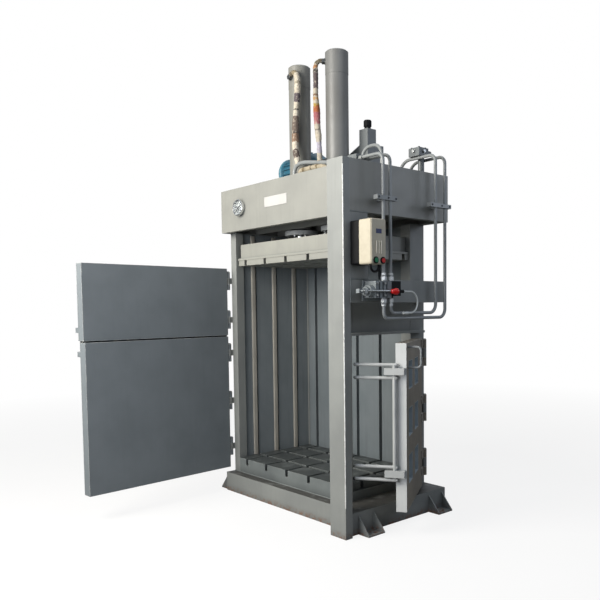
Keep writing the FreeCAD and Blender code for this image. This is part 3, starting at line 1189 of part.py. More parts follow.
def make_deck_pipes():
    """Deck block, header pipe and the two wrapped hoses from it to the cylinder caps."""
    right_end = "half_width - block_back"
    node(block("deck_block", (f"{right_end} - block_length", right_end),
               ("tube_1_y - block_side", "tube_2_y + block_side"), ("post_height", "top_run_z + block_over")),
         "deck_block")
    deck, z, y = val("post_height"), val("header_z"), val("header_y")
    left = val("cyl_left_x + header_lead")
    right = val("cyl_right_x + header_over")
    bend = val("header_bend")
    header = swept([V(left, y, deck), V(left, y, z), V(right, y, z), V(right, y, deck)], [bend, bend],
                   val("header_r"))
    drops = {"left": left + val("drop_reach"), "right": val("cyl_right_x - drop_reach")}
    stub = val("stub_height")
    stubs = [hexagon("z", val("header_r + stub_wall"), V(spot, y, z), stub) for spot in drops.values()]
    feet = [hexagon("z", val("header_r + foot_nut_wall"), V(spot, y, deck),
                    val("foot_nut_h")) for spot in (left, right)]
    node(feature("header_pipe", header.multiFuse(stubs + feet).removeSplitter().Solids[0]), "header_pipe")
    height = val("cyl_top - port_drop")
    long_bend = val("wrap_bend")
    knee_bend, turn_bend = val("wrap_knee"), val("wrap_turn")
    for side, angle, lean, bends in (
            ("left", -90, val("wrap_lean"), [knee_bend, knee_bend, long_bend, long_bend]),
            ("right", -132, -val("wrap_back"), [turn_bend, long_bend, long_bend])):
        x = val(f"cyl_{side}_x")
        heading = V(math.cos(math.radians(angle)), math.sin(math.radians(angle)), 0)
        port = V(x, val("cyl_y"), height) + heading * val("cyl_r + cap_step")
        knee = port + heading * val("wrap_out")
        top = V(knee.x + lean, knee.y, height)
        route = [port, top] if side == "right" else [port, knee, top]
        route += [V(top.x, top.y, height - val("wrap_fall")), V(drops[side], y, z + val("wrap_lead")),
                  V(drops[side], y, z + stub)]
        hose = swept(route, bends, val("wrap_r"))
        inner = Part.makeCylinder(val("cyl_r + cap_step"), val("cap_height"),
                                  V(x, val("cyl_y"), val("cyl_joint")))
        node(feature(f"cap_hose_{side}", hose.cut(inner).removeSplitter().Solids[0]), f"cap_hose_{side}")


def make_relief_valve():
    """Relief valve on a stem between the rear tubes."""
    spot = ("relief_x + relief_side / 2", "(tube_3_y + tube_4_y) / 2", "post_height")
    stem = rod("relief_stem", "z", "relief_stem_r", spot, "rear_run + relief_low / 2")
    body = block("relief_block", ("relief_x", "relief_x + relief_side"), ("relief_y", "relief_y + relief_side"),
                 ("rear_run_z + tube_r + seat_gap", "rear_run_z + relief_low"))
    cap = rod("relief_cap", "y", "relief_cap_r",
              ("relief_x + relief_side * 0.75", "relief_y + relief_side", "rear_run_z + relief_low * 0.6"),
              "relief_cap")
    foot = rod("relief_foot", "z", "relief_foot_r", spot, "relief_foot_h")
    node(fuse("relief_valve", [stem, body, cap, foot]), "relief_valve")


# ---------------------------------------------------------------- instruments and plate
def make_gauge():
    """Pressure gauge: cupped case with bezel, dial, needle on its post and a clear window."""
    parts = {
        "gauge_case": [("0", "0"), ("gauge_r - case_step", "0"),
                       ("gauge_r - case_step", "gauge_depth - bezel_depth"), ("gauge_r", "gauge_depth - bezel_depth"),
                       ("gauge_r", "gauge_depth"), ("gauge_r - bezel_width", "gauge_depth"),
                       ("gauge_r - bezel_width", "gauge_depth - glass_drop"),
                       ("gauge_r - dial_in", "gauge_depth - glass_drop"), ("gauge_r - dial_in", "case_floor"),
                       ("0", "case_floor")],
        "gauge_dial": [("0", "case_floor"), ("gauge_r - dial_in - seat_gap", "case_floor"),
                       ("gauge_r - dial_in - seat_gap", "gauge_depth - dial_drop"),
                       ("post_r", "gauge_depth - dial_drop"), ("post_r", "gauge_depth - post_drop"),
                       ("0", "gauge_depth - post_drop")],
        "gauge_window": [("0", "gauge_depth - glass_drop - glass_thick"),
                         ("gauge_r - dial_in - seat_gap", "gauge_depth - glass_drop - glass_thick"),
                         ("gauge_r - dial_in - seat_gap", "gauge_depth - glass_drop"),
                         ("0", "gauge_depth - glass_drop")],
    }
    for label, corners in parts.items():
        body = turned(label, "XZ_Plane", corners)
        body.Placement = FreeCAD.Placement(V(), FreeCAD.Rotation(V(1, 0, 0), 90))
        node(place(body, "gauge_x", "0 - half_depth", "gauge_z"), label)
    back = V(0, -1, 0)
    half, tip, reach = val("needle_half"), val("needle_tip"), val("gauge_r - needle_short")
    hub = Part.makeCylinder(val("needle_hub_r"), val("needle_hub_t"), V(), back)
    outline = Part.makePolygon([V(-half, 0, 0), V(half, 0, 0), V(tip, 0, reach), V(-tip, 0, reach),
                                V(-half, 0, 0)])
    blade = Part.Face(outline).extrude(back * val("needle_thick"))
    bore = Part.makeCylinder(val("post_r + needle_gap"), val("needle_hub_t") + 5, V(0, 2, 0), back)
    needle = hub.fuse(blade).cut(bore).removeSplitter().Solids[0]
    obj = feature("gauge_needle", needle)
    obj.Placement = FreeCAD.Placement(V(), FreeCAD.Rotation(V(0, 1, 0), -val("needle_rest")))
    node(place(obj, "gauge_x", "0 - half_depth - gauge_depth + needle_drop", "gauge_z"), "gauge_needle")


def make_name_plate():
    """Bare plate with four rivets on the head front."""
    y = ("0 - half_depth - plate_thick", "0 - half_depth")
    plate = block("plate_sheet", ("plate_x", "plate_x + plate_width"), y, ("plate_z", "plate_z + plate_height"))
    rivets = [rod(f"plate_rivet_{n}", "y", "rivet_r", (x, "0 - half_depth - plate_thick - rivet_proud", z),
                  "rivet_proud + rivet_seat")
              for n, (x, z) in enumerate(((x, z) for x in ("plate_x + rivet_in",
                                                           "plate_x + plate_width - rivet_in")
                                          for z in ("plate_z + rivet_in",
                                                    "plate_z + plate_height - rivet_in")))]
    node(fuse("name_plate", [plate] + rivets), "name_plate")


def build():
    """Makes every piece, then writes one STEP file for each."""
    steps = (make_base, make_feet, make_tall_post, make_posts, make_head, make_deck, make_side_frame,
             make_walls,
             make_floor, make_platen, make_rod_bolts, make_hinges, make_side_door, make_latch, make_control_box,
             make_valve, make_lever, make_tubes, make_clamps, make_pilot_hose, make_power_pack, make_tank,
             make_return_arch, make_deck_pipes, make_relief_valve, make_gauge, make_name_plate)
    for step in steps:
        step()
    make_cylinder("left", "cyl_left_x")
    make_cylinder("right", "cyl_right_x")
    make_front_door("upper_door", "upper_z", "upper_height", 2, ("upper_hinge_a", "upper_hinge_b"),
                    "upper_open")
    make_front_door("lower_door", "lower_z", "lower_height", 4,
                    ("lower_hinge_a", "lower_hinge_b", "lower_hinge_c"), "lower_open")
    doc.recompute()
    faults = [obj.Name for obj in doc.Objects if {"Invalid", "Error"} & set(obj.State)]
    os.makedirs("parts", exist_ok=True)
    for obj in NODES:
        if obj.Shape.isNull() or not obj.Shape.isValid() or not obj.Shape.Solids:
            faults.append(obj.Label)
            continue
        obj.Shape.exportStep(f"parts/{obj.Label}.step")
        print(f"{obj.Label}: {len(obj.Shape.Solids)} solids, {obj.Shape.Volume / 1000:.1f} cm3")
    if faults:
        raise RuntimeError(f"faulty pieces: {faults}")


build()
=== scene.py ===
import functools
import logging
import math
from collections.abc import Iterable, Sequence
from dataclasses import dataclass, field
from enum import Enum

import bmesh
import bpy
from mathutils import Matrix, Vector


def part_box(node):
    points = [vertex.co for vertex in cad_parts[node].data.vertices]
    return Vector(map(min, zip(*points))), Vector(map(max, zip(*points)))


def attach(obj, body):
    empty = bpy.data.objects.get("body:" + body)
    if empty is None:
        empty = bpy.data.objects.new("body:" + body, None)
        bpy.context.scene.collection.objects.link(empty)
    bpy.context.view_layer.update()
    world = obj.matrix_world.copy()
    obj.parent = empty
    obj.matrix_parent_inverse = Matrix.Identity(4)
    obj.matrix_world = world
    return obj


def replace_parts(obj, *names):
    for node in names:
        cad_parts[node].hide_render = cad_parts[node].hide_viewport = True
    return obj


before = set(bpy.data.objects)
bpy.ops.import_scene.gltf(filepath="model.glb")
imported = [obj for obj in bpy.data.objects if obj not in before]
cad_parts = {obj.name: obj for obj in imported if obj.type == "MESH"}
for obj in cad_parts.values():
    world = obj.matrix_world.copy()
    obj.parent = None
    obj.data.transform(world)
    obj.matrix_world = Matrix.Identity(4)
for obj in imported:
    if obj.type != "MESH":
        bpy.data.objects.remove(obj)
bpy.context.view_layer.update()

# Dressing of a two-ram recycling baler. Every length is in metres unless its name says mm.

LOG = logging.getLogger("baler")
SEED = 7
UP, DOWN = (0.0, 0.0, 1.0), (0.0, 0.0, -1.0)
RIGHT, LEFT = (1.0, 0.0, 0.0), (-1.0, 0.0, 0.0)
REAR, FRONT = (0.0, 1.0, 0.0), (0.0, -1.0, 0.0)
SIDES = ("left", "right")
MERGE = 1e-6
SHADE_SAMPLES = 4
CLOUD_ROUGHNESS = 0.55
Socket = bpy.types.NodeSocket
Spot = tuple[Sequence[float], Sequence[float]]
Line = Sequence[Sequence[float]]


# ---------------------------------------------------------------- nodes and colours
def add_node(tree: bpy.types.NodeTree, kind: str, inputs: dict | None = None,
             **settings: object) -> bpy.types.Node:
    """Add one node with its settings, its constant inputs and its links.

    Args:
        tree: Node tree that gets the node.
        kind: Blender's type name of the node.
        inputs: Sockets by name or place, each with a value or with the output that feeds it.
        settings: Properties of the node itself.

    Returns:
        The new node.
    """
    node = tree.nodes.new(kind)
    for name, value in settings.items():
        setattr(node, name, value)
    for key, value in (inputs or {}).items():
        if isinstance(value, Socket):
            tree.links.new(value, node.inputs[key])
        else:
            node.inputs[key].default_value = value
    return node


def linear(code: str) -> tuple[float, float, float, float]:
    """Turn an sRGB hex colour into the linear colour that a socket takes.

    Args:
        code: Six hex digits after a hash sign.

    Returns:
        Red, green, blue and an alpha of one.
    """
    parts = [int(code[place:place + 2], 16) / 255 for place in (1, 3, 5)]
    red, green, blue = (part / 12.92 if part <= 0.04045 else ((part + 0.055) / 1.055) ** 2.4
                        for part in parts)
    return red, green, blue, 1.0


def per_metre(size_mm: float) -> float:
    """Pattern scale on Object coordinates that gives features of a real size in millimetres."""
    return 1000.0 / size_mm


# ---------------------------------------------------------------- finishes
class Coat:
    """Node material on Object coordinates: a ground colour, the layers over it and their masks."""

    def __init__(self, name: str, ground: str) -> None:
        """Start a material with its ground colour.

        Args:
            name: Name of the real material.
            ground: Hex colour under all layers.
        """
        self.material = bpy.data.materials.new(name)
        self.material.use_nodes = True
        self.tree = self.material.node_tree
        self.tree.nodes.clear()
        self.place = add_node(self.tree, "ShaderNodeTexCoord").outputs["Object"]
        self.tint = linear(ground)

    def clouds(self, size_mm: float, low: float, high: float, stretch: tuple = (1.0, 1.0, 1.0),
               detail: float = 3.0, least: float = 0.0, most: float = 1.0) -> Socket:
        """Cloudy mask of patches of a real size.

        Args:
            size_mm: Size of a patch.
            low: Noise value that gives the least.
            high: Noise value that gives the most.
            stretch: How many patch sizes long the patches are on each axis.
            detail: Octaves of finer noise.
            least: Result at the low value.
            most: Result at the high value.

        Returns:
            Socket of the result, level past its limits.
        """
        squeeze = add_node(self.tree, "ShaderNodeMapping",
                           {"Vector": self.place, "Scale": [per_metre(size_mm) / part for part in stretch]})
        noise = add_node(self.tree, "ShaderNodeTexNoise",
                         {"Vector": squeeze.outputs["Vector"], "Scale": 1.0, "Detail": detail,
                          "Roughness": CLOUD_ROUGHNESS})
        return add_node(self.tree, "ShaderNodeMapRange",
                        {"Value": noise.outputs["Fac"], "From Min": low, "From Max": high,
                         "To Min": least, "To Max": most}).outputs["Result"]

    def edges(self, width_mm: float, low: float = 0.02, high: float = 0.25) -> Socket:
        """Mask of the outer edges, found by comparing the rounded normal with the true one.

        Args:
            width_mm: Width of the worn line on each side of an edge.
            low: Difference that gives nought.
            high: Difference that gives one.

        Returns:
            Socket from nought to one.
        """
        soft = add_node(self.tree, "ShaderNodeBevel", {"Radius": width_mm / 1000}, samples=SHADE_SAMPLES)
        true = add_node(self.tree, "ShaderNodeNewGeometry")
        both = add_node(self.tree, "ShaderNodeVectorMath",
                        {0: soft.outputs["Normal"], 1: true.outputs["Normal"]}, operation="DOT_PRODUCT")
        return add_node(self.tree, "ShaderNodeMapRange",
                        {"Value": both.outputs["Value"], "From Min": 1 - low,
                         "From Max": 1 - high}).outputs["Result"]

    def corners(self, reach_mm: float, low: float = 0.95, high: float = 0.35) -> Socket:
        """Mask of inner corners, where oil and grit gather and where painted shade darkens them.

        Args:
            reach_mm: How far from a corner the darkening reaches.
            low: Openness that gives nought.
            high: Openness that gives one.

        Returns:
            Socket from nought to one.
        """
        nook = add_node(self.tree, "ShaderNodeAmbientOcclusion", {"Distance": reach_mm / 1000},
                        samples=SHADE_SAMPLES)
        return add_node(self.tree, "ShaderNodeMapRange",
                        {"Value": nook.outputs["AO"], "From Min": low, "From Max": high}).outputs["Result"]

    def layer(self, colour: str | Socket, *masks: Socket | float) -> None:
        """Lay a colour over the coat where all its masks are high.

        Args:
            colour: Hex colour or socket on top.
            masks: Masks and strengths from nought to one, which are multiplied.
        """
        share = masks[0]
        for mask in masks[1:]:
            share = add_node(self.tree, "ShaderNodeMath", {0: share, 1: mask},
                             operation="MULTIPLY").outputs["Value"]
        above = linear(colour) if isinstance(colour, str) else colour
        self.tint = add_node(self.tree, "ShaderNodeMix", {0: share, 6: self.tint, 7: above},
                             data_type="RGBA").outputs[2]

    def close(self, roughness: float | Socket, height: Socket | None = None, height_mm: float = 0.1,
              soften_mm: float = 0.0, **constants: float) -> bpy.types.Material:
        """Finish the material with its shader.

        Args:
            roughness: Number or socket.
            height: Relief pattern, if the surface has one.
            height_mm: Depth of the relief.
            soften_mm: Radius that the edges seem to have.
            constants: Values of the shader's own sockets, with underscores for blanks.

        Returns:
            The material.
        """
        inputs = {"Base Color": self.tint, "Roughness": roughness}
        inputs.update({key.replace("_", " "): value for key, value in constants.items()})
        if soften_mm:
            inputs["Normal"] = add_node(self.tree, "ShaderNodeBevel", {"Radius": soften_mm / 1000},
                                        samples=SHADE_SAMPLES).outputs["Normal"]
        if height is not None:
            relief = {"Height": height, "Distance": height_mm / 1000, "Strength": 1.0}
            if "Normal" in inputs:
                relief["Normal"] = inputs["Normal"]
            inputs["Normal"] = add_node(self.tree, "ShaderNodeBump", relief).outputs["Normal"]
        shader = add_node(self.tree, "ShaderNodeBsdfPrincipled", inputs)
        add_node(self.tree, "ShaderNodeOutputMaterial", {"Surface": shader.outputs["BSDF"]})
        return self.material


@dataclass(frozen=True)
class Enamel:
    """Alkyd enamel sprayed on rolled steel: satin, uneven, rubbed pale on its edges, rusty at the floor."""

    name: str
    colour: str
    faded: str
    rubbed: str = "#b4b8b4"
    grime_and_shade: str = "#2c3031"
    patch_mm: float = 260.0
    edge_mm: float = 3.0
    wear: float = 0.55
    corner_dirt_and_shade: float = 0.45
    run_strength: float = 0.08
    roughness: float = 0.44
    rust_rise: float = 0.0
    top_dust_and_shade: float = 0.0
    run_mm: float = 35.0
    run_stretch: tuple[float, ...] = (1.0, 1.0, 18.0)
    nook_mm: float = 70.0
    flake_mm: float = 60.0
    dust_mm: float = 120.0
    rust_mm: float = 28.0
    rust_grain_mm: float = 9.0
    rust_share: float = 0.85
    old_rust: str = "#5a3220"
    young_rust: str = "#8c5a34"
    sheen_mm: float = 90.0
    gloss_less: float = 0.06
    gloss_more: float = 0.10
    peel_mm: float = 5.0
    peel_depth_mm: float = 0.05
    soften_mm: float = 1.5

    def material(self) -> bpy.types.Material:
        """Build the node material."""
        coat = Coat(self.name, self.colour)
        coat.layer(self.faded, coat.clouds(self.patch_mm, 0.35, 0.70))
        # Vertical runs, as oil and rinsed dust leave on upright plate.
        coat.layer(self.grime_and_shade, coat.clouds(self.run_mm, 0.52, 0.80, self.run_stretch), self.run_strength)
        # Inner corners darkened: oily grit and painted shade where the corners are hidden from light.
        coat.layer(self.grime_and_shade, coat.corners(self.nook_mm), self.corner_dirt_and_shade)
        coat.layer(self.rubbed, coat.edges(self.edge_mm), coat.clouds(self.flake_mm, 0.30, 0.55), self.wear)
        # Upward faces darkened: settling grit and painted shade on the tops.
        if self.top_dust_and_shade:
            facing = add_node(coat.tree, "ShaderNodeNewGeometry").outputs["True Normal"]
            rise = add_node(coat.tree, "ShaderNodeSeparateXYZ", {"Vector": facing}).outputs["Z"]
            level = add_node(coat.tree, "ShaderNodeMapRange",
                             {"Value": rise, "From Min": 0.90, "From Max": 0.99}).outputs["Result"]
            coat.layer(self.grime_and_shade, level, coat.clouds(self.dust_mm, 0.15, 0.45), self.top_dust_and_shade)
        if self.rust_rise:
            height = add_node(coat.tree, "ShaderNodeSeparateXYZ", {"Vector": coat.place}).outputs["Z"]
            low = add_node(coat.tree, "ShaderNodeMapRange",
                           {"Value": height, "From Min": self.rust_rise, "From Max": 0.0}).outputs["Result"]
            rust = add_node(coat.tree, "ShaderNodeMix",
                            {0: coat.clouds(self.rust_grain_mm, 0.3, 0.7), 6: linear(self.old_rust),
                             7: linear(self.young_rust)}, data_type="RGBA").outputs[2]
            coat.layer(rust, low, coat.clouds(self.rust_mm, 0.45, 0.62, detail=5.0), self.rust_share)
        gloss = coat.clouds(self.sheen_mm, 0.2, 0.8, least=self.roughness - self.gloss_less,
                            most=self.roughness + self.gloss_more)
        # Sprayed enamel has an orange-peel relief.
        peel = coat.clouds(self.peel_mm, 0.2, 0.8, detail=2.0)
        return coat.close(gloss, peel, self.peel_depth_mm, self.soften_mm, IOR=1.5)


@dataclass(frozen=True)
class Steel:
    """Bare or plated steel and iron: drawn, ground or cast, with a fine directional grain."""

    name: str
    colour: str
    stain_and_shade: str
    roughness: float = 0.32
    grain_mm: float = 1.5
    stain_share: float = 0.5
    soften_mm: float = 0.8
    stain_mm: float = 40.0
    nook_mm: float = 25.0
    nook_share: float = 0.6
    gloss_less: float = 0.05
    gloss_more: float = 0.08
    grain_stretch: tuple[float, ...] = (1.0, 1.0, 14.0)
    grain_depth_mm: float = 0.02

    def material(self) -> bpy.types.Material:
        """Build the node material."""
        coat = Coat(self.name, self.colour)
        coat.layer(self.stain_and_shade, coat.clouds(self.stain_mm, 0.45, 0.75, detail=4.0), self.stain_share)
        # Inner corners darkened: oily staining and painted shade.
        coat.layer(self.stain_and_shade, coat.corners(self.nook_mm), self.nook_share)
        grain, gloss = (coat.clouds(self.grain_mm, 0.2, 0.8, self.grain_stretch, 2.0, least, most)
                        for least, most in ((0.0, 1.0), (self.roughness - self.gloss_less,
                                                         self.roughness + self.gloss_more)))
        return coat.close(gloss, grain, self.grain_depth_mm, self.soften_mm, Metallic=1.0)


@dataclass(frozen=True)
class Moulding:
    """Moulded ABS or nylon: even colour, a faint spark-eroded grain, and a little dusting and painted shade
    in its corners.
    """

    name: str
    colour: str
    dust_and_shade: str
    roughness: float = 0.38
    grain_mm: float = 1.2
    soften_mm: float = 1.5
    gloss: float = 0.5
    dust_mm: float = 45.0
    dust_share: float = 0.35
    nook_mm: float = 20.0
    nook_share: float = 0.5
    gloss_less: float = 0.05
    gloss_more: float = 0.07
    grain_depth_mm: float = 0.03

    def material(self) -> bpy.types.Material:
        """Build the node material."""
        coat = Coat(self.name, self.colour)
        coat.layer(self.dust_and_shade, coat.clouds(self.dust_mm, 0.4, 0.8), self.dust_share)
        # Inner corners darkened: a little dusting and painted shade.
        coat.layer(self.dust_and_shade, coat.corners(self.nook_mm), self.nook_share)
        grain, rough = (coat.clouds(self.grain_mm, 0.2, 0.8, detail=2.0, least=least, most=most)
                        for least, most in ((0.0, 1.0), (self.roughness - self.gloss_less,
                                                         self.roughness + self.gloss_more)))
        return coat.close(rough, grain, self.grain_depth_mm, self.soften_mm, IOR=1.53,
                          Specular_IOR_Level=self.gloss)


@dataclass(frozen=True)
class Patch:
    """Length of tape of one colour on a wrapped hose, by its start and end along the hose."""

    start: float
    end: float
    colour: str


@dataclass(frozen=True)
class TapeWrap:
    """Fabric and plastic tape wound round a hose: matt, creased, with turns and lengths of other colours."""

    name: str
    ground: str
    patches: tuple[Patch, ...]
    shade: str = "#b9ae98"
    shade_share: float = 0.5
    patch_share: float = 0.92
    soil_share: float = 0.45
    soil: str = "#4a4038"
    blur: float = 0.012
    blur_mm: float = 22.0
    ragged_mm: float = 18.0
    soil_mm: float = 14.0
    weave_mm: float = 3.0
    weave_depth_mm: float = 0.35
    roughness: float = 0.82

    def material(self) -> bpy.types.Material:
        """Build the node material."""
        coat = Coat(self.name, self.ground)
        along, turn = (add_node(coat.tree, "ShaderNodeAttribute", attribute_name=name).outputs["Fac"]
                       for name in ("along", "turn"))
        whole = add_node(coat.tree, "ShaderNodeMath", {0: turn}, operation="FLOOR").outputs["Value"]
        chance = add_node(coat.tree, "ShaderNodeTexWhiteNoise", {"W": whole},
                          noise_dimensions="1D").outputs["Value"]
        coat.layer(self.shade, chance, self.shade_share)
        wander = coat.clouds(self.blur_mm, 0.2, 0.8, least=-self.blur, most=self.blur)
        spot = add_node(coat.tree, "ShaderNodeMath", {0: along, 1: wander}, operation="ADD").outputs["Value"]
        for patch in self.patches:
            middle, reach = (patch.start + patch.end) / 2, abs(patch.end - patch.start) / 2
            inside = add_node(coat.tree, "ShaderNodeMath", {0: spot, 1: middle, 2: reach},
                              operation="COMPARE").outputs["Value"]
            coat.layer(patch.colour, inside, coat.clouds(self.ragged_mm, 0.32, 0.42), self.patch_share)
        coat.layer(self.soil, coat.clouds(self.soil_mm, 0.50, 0.72, detail=5.0), self.soil_share)
        weave = coat.clouds(self.weave_mm, 0.2, 0.8, detail=3.0)
        return coat.close(self.roughness, weave, self.weave_depth_mm, IOR=1.5)


@dataclass(frozen=True)
class DialFace:
    """Baked white enamel of a gauge dial, with the slightest yellowing."""

    name: str = "white dial enamel"
    colour: str = "#a6acac"
    aged: str = "#9aa09f"
    aged_mm: float = 30.0
    aged_share: float = 0.5
    roughness: float = 0.35
    grain_mm: float = 2.0
    grain_depth_mm: float = 0.01

    def material(self) -> bpy.types.Material:
        """Build the node material."""
        coat = Coat(self.name, self.colour)
        coat.layer(self.aged, coat.clouds(self.aged_mm, 0.3, 0.8), self.aged_share)
        return coat.close(self.roughness, coat.clouds(self.grain_mm, 0.2, 0.8), self.grain_depth_mm, IOR=1.5)


@dataclass(frozen=True)
class Pane:
    """Clear gauge glass with faint smears in its gloss."""

    name: str = "clear gauge glass"
    colour: str = "#ffffff"
    smeared: str = "#f0f4f2"
    smear_mm: float = 20.0
    clean: float = 0.02
    greasy: float = 0.12

    def material(self) -> bpy.types.Material:
        """Build the node material."""
        coat = Coat(self.name, self.colour)
        smear = coat.clouds(self.smear_mm, 0.4, 0.8, least=self.clean, most=self.greasy)
        coat.layer(self.smeared, smear)
        return coat.close(smear, IOR=1.5, Transmission_Weight=1.0)


@functools.cache
def material_of(finish: object) -> bpy.types.Material:
    """Material of a finish, made once."""
    return finish.material()


BASE_PAINT = Enamel("trodden grey enamel on the base", "#8b8e8b", "#828583", rust_rise=0.05, top_dust_and_shade=0.8,
                    grime_and_shade="#26221d")
FRAME_PAINT = Enamel("grey enamel on the press frame", "#8b8e8b", "#828583", rust_rise=0.05)
HEAD_PAINT = Enamel("grey enamel on the head", "#8f908a", "#868782", wear=0.45)
DOOR_PAINT = Enamel("grey enamel on the front doors", "#767d81", "#6f767a", rubbed="#d2d2cc", edge_mm=7.0,
                    wear=0.9, run_strength=0.05)
SIDE_DOOR_PAINT = Enamel("brown-grey enamel on the side door", "#8a8376", "#7b756b", rubbed="#e6e6e0",
                         edge_mm=6.0, wear=1.0, run_strength=0.05)
# The lugs, the latch and the door's free edge are painted paler: a painted highlight of the light they catch.
LIT_LUG_PAINT = Enamel("pale grey enamel on the lugs and the latch", "#b4b7b5", "#a8abaa", rubbed="#e6e6e0",
                   edge_mm=3.0, wear=0.8, corner_dirt_and_shade=0.2, run_strength=0.05, roughness=0.36)
EDGE_HIGHLIGHT_PAINT = Enamel("pale grey enamel on the door edge", "#d4d6d4", "#c6c9c7", edge_mm=3.0, wear=0.6,
                    corner_dirt_and_shade=0.2, run_strength=0.05)
SLEEVE_PAINT = Enamel("blue-grey enamel in the windows", "#a9b6bd", "#9ba8af", edge_mm=2.0, corner_dirt_and_shade=0.2,
                      run_strength=0.0)
RELIEF_PAINT = Enamel("dark grey enamel on cast iron", "#676d6f", "#5b6163", rubbed="#a9adad", edge_mm=2.0,
                      wear=0.6, patch_mm=40.0, run_strength=0.1)
GLAND_PAINT = Enamel("grey enamel on the gland flanges", "#b3b7b6", "#a6abaa", edge_mm=2.0, run_strength=0.0)
WALL_PAINT = Enamel("grey enamel on the left wall", "#838a8d", "#7a8184", edge_mm=3.0, wear=0.75,
                    run_strength=0.20, corner_dirt_and_shade=0.25)
# Back wall: a darker copy of the wall enamel, as painted shade inside the chamber.
SHADED_BACK_PAINT = Enamel("grey enamel on the back wall", "#70777a", "#687073", edge_mm=3.0, wear=0.75,
                    run_strength=0.20, corner_dirt_and_shade=0.25)
# Pale bars in the left wall's grooves: a painted highlight of the lit sides of the grooves.
GROOVE_HIGHLIGHT_PAINT = Enamel("rubbed enamel on the wall bars", "#b3afa4", "#a29e94", rubbed="#c9c5ba", edge_mm=2.0,
                   wear=0.6, corner_dirt_and_shade=0.15, run_strength=0.2)
# Chamber floor: darker colour and darker tops as painted shade under the platen, with scuffs and grit as
# well.
SHADED_FLOOR_PAINT = Enamel("scuffed grey enamel on the chamber floor", "#777d7c", "#666c6c", edge_mm=4.0, wear=0.9,
                     corner_dirt_and_shade=0.7, roughness=0.5, top_dust_and_shade=0.75)
PLATEN_PAINT = Enamel("grey enamel on the platen", "#96978f", "#8c8d87", rubbed="#bdbbb0", edge_mm=4.0,
                      wear=0.7)
RAM_PAINT = Enamel("grey enamel on the rams", "#757674", "#6b6b68", wear=0.3, run_strength=0.08,
                   roughness=0.42)
# The left ram's enamel is a lighter copy of the rams' enamel: painted light on the ram nearer the light.
LIT_LEFT_RAM_PAINT = Enamel("grey enamel on the left ram", "#86867f", "#7a7a74", wear=0.3, roughness=0.42)
TANK_PAINT = Enamel("grey enamel on the oil tank", "#75797a", "#6b7071", wear=0.5)
TUBE_PAINT = Enamel("grey enamel on the steel tubes", "#8d9191", "#828787", edge_mm=1.0, wear=0.3, corner_dirt_and_shade=0.3,
                    run_strength=0.1, roughness=0.32)
VALVE_PAINT = Enamel("grey enamel on cast iron", "#858c8e", "#767d80", rubbed="#a9adad", edge_mm=2.0,
                     wear=0.8, corner_dirt_and_shade=0.35, patch_mm=40.0, run_strength=0.1, roughness=0.40)
BAND_PAINT = Enamel("pale blue machine enamel", "#7fb0be", "#74a4b2", edge_mm=0.6, wear=0.3, run_strength=0.0)
MOTOR_PAINT = Enamel("blue machine enamel", "#2f7189", "#29637a", rubbed="#7d959c", wear=0.4, roughness=0.36)
BRIGHT_STEEL = Steel("zinc-plated steel", "#a3a6a6", "#5d5e5e", 0.34)
CLAMP_SCREW = Steel("oiled steel screws", "#4a4c4d", "#2b2c2c", 0.45)
ZINC = Steel("bright zinc on steel unions", "#c9cccc", "#8a8c8c", 0.42)
CHROME = Steel("hard chrome on ground steel", "#c3c7c8", "#7f8384", 0.14, 2.5, 0.25)
CAST_IRON = Steel("phosphated cast iron", "#6b6e6e", "#3b3d3d", 0.42, 2.5, 0.6)
PLATE_PAINT = Enamel("white enamel on a bare plate", "#bfbfbd", "#b5b5b2", rubbed="#8f8f8c", edge_mm=1.5,
                     wear=0.4, corner_dirt_and_shade=0.2, run_strength=0.05, roughness=0.35)
CHIP_PAINT = Enamel("chipped primer", "#f2f3ef", "#c4c6c2", patch_mm=30.0, edge_mm=1.0, wear=0.2, corner_dirt_and_shade=0.0,
                    run_strength=0.0)
WELD_METAL = Enamel("painted weld metal", "#858b89", "#7a807f", edge_mm=1.0, wear=0.3, corner_dirt_and_shade=0.3,
                    patch_mm=60.0)
CREAM_PLASTIC = Moulding("cream ABS", "#b9b29e", "#978c75")
BLACK_PLASTIC = Moulding("black nylon", "#101113", "#1a1a1a", 0.55, gloss=0.12)
# Raised bars on the box cover: a lighter copy of the cover's cream, as painted highlight.
LIT_BAR_PLASTIC = Moulding("cream ABS on raised bars", "#efe9d8", "#e2dccb", 0.4)
TAG_PLASTIC = Moulding("dark blue label film", "#232f5c", "#1d274c", 0.3)
HOSE_PLASTIC = Moulding("clear grey nylon hose", "#d2d6d2", "#adb1ad", 0.35)
GREEN_PLASTIC = Moulding("green acetal", "#0d7a4f", "#0a5238", 0.28)
RED_PLASTIC = Moulding("red acetal", "#cf1c1a", "#8f1513", 0.28)
KNOB_PLASTIC = Moulding("red phenolic knob", "#e01310", "#a8110e", 0.22)
RING_CHROME = Steel("chromed gauge ring", "#eceeef", "#b9bcbd", 0.16, 2.5, 0.2)
DIAL_INK = Moulding("black dial ink", "#17181a", "#2a2b2d", 0.5)
NEEDLE_INK = Moulding("black needle paint", "#1a1a1c", "#303033", 0.4)


def dress(names: Iterable[str], finish: object) -> None:
    """Give CAD nodes the material of a finish.

    Args:
        names: CAD nodes.
        finish: One of the finishes.
    """
    for name in names:
        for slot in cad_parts[name].material_slots:
            slot.material = material_of(finish)


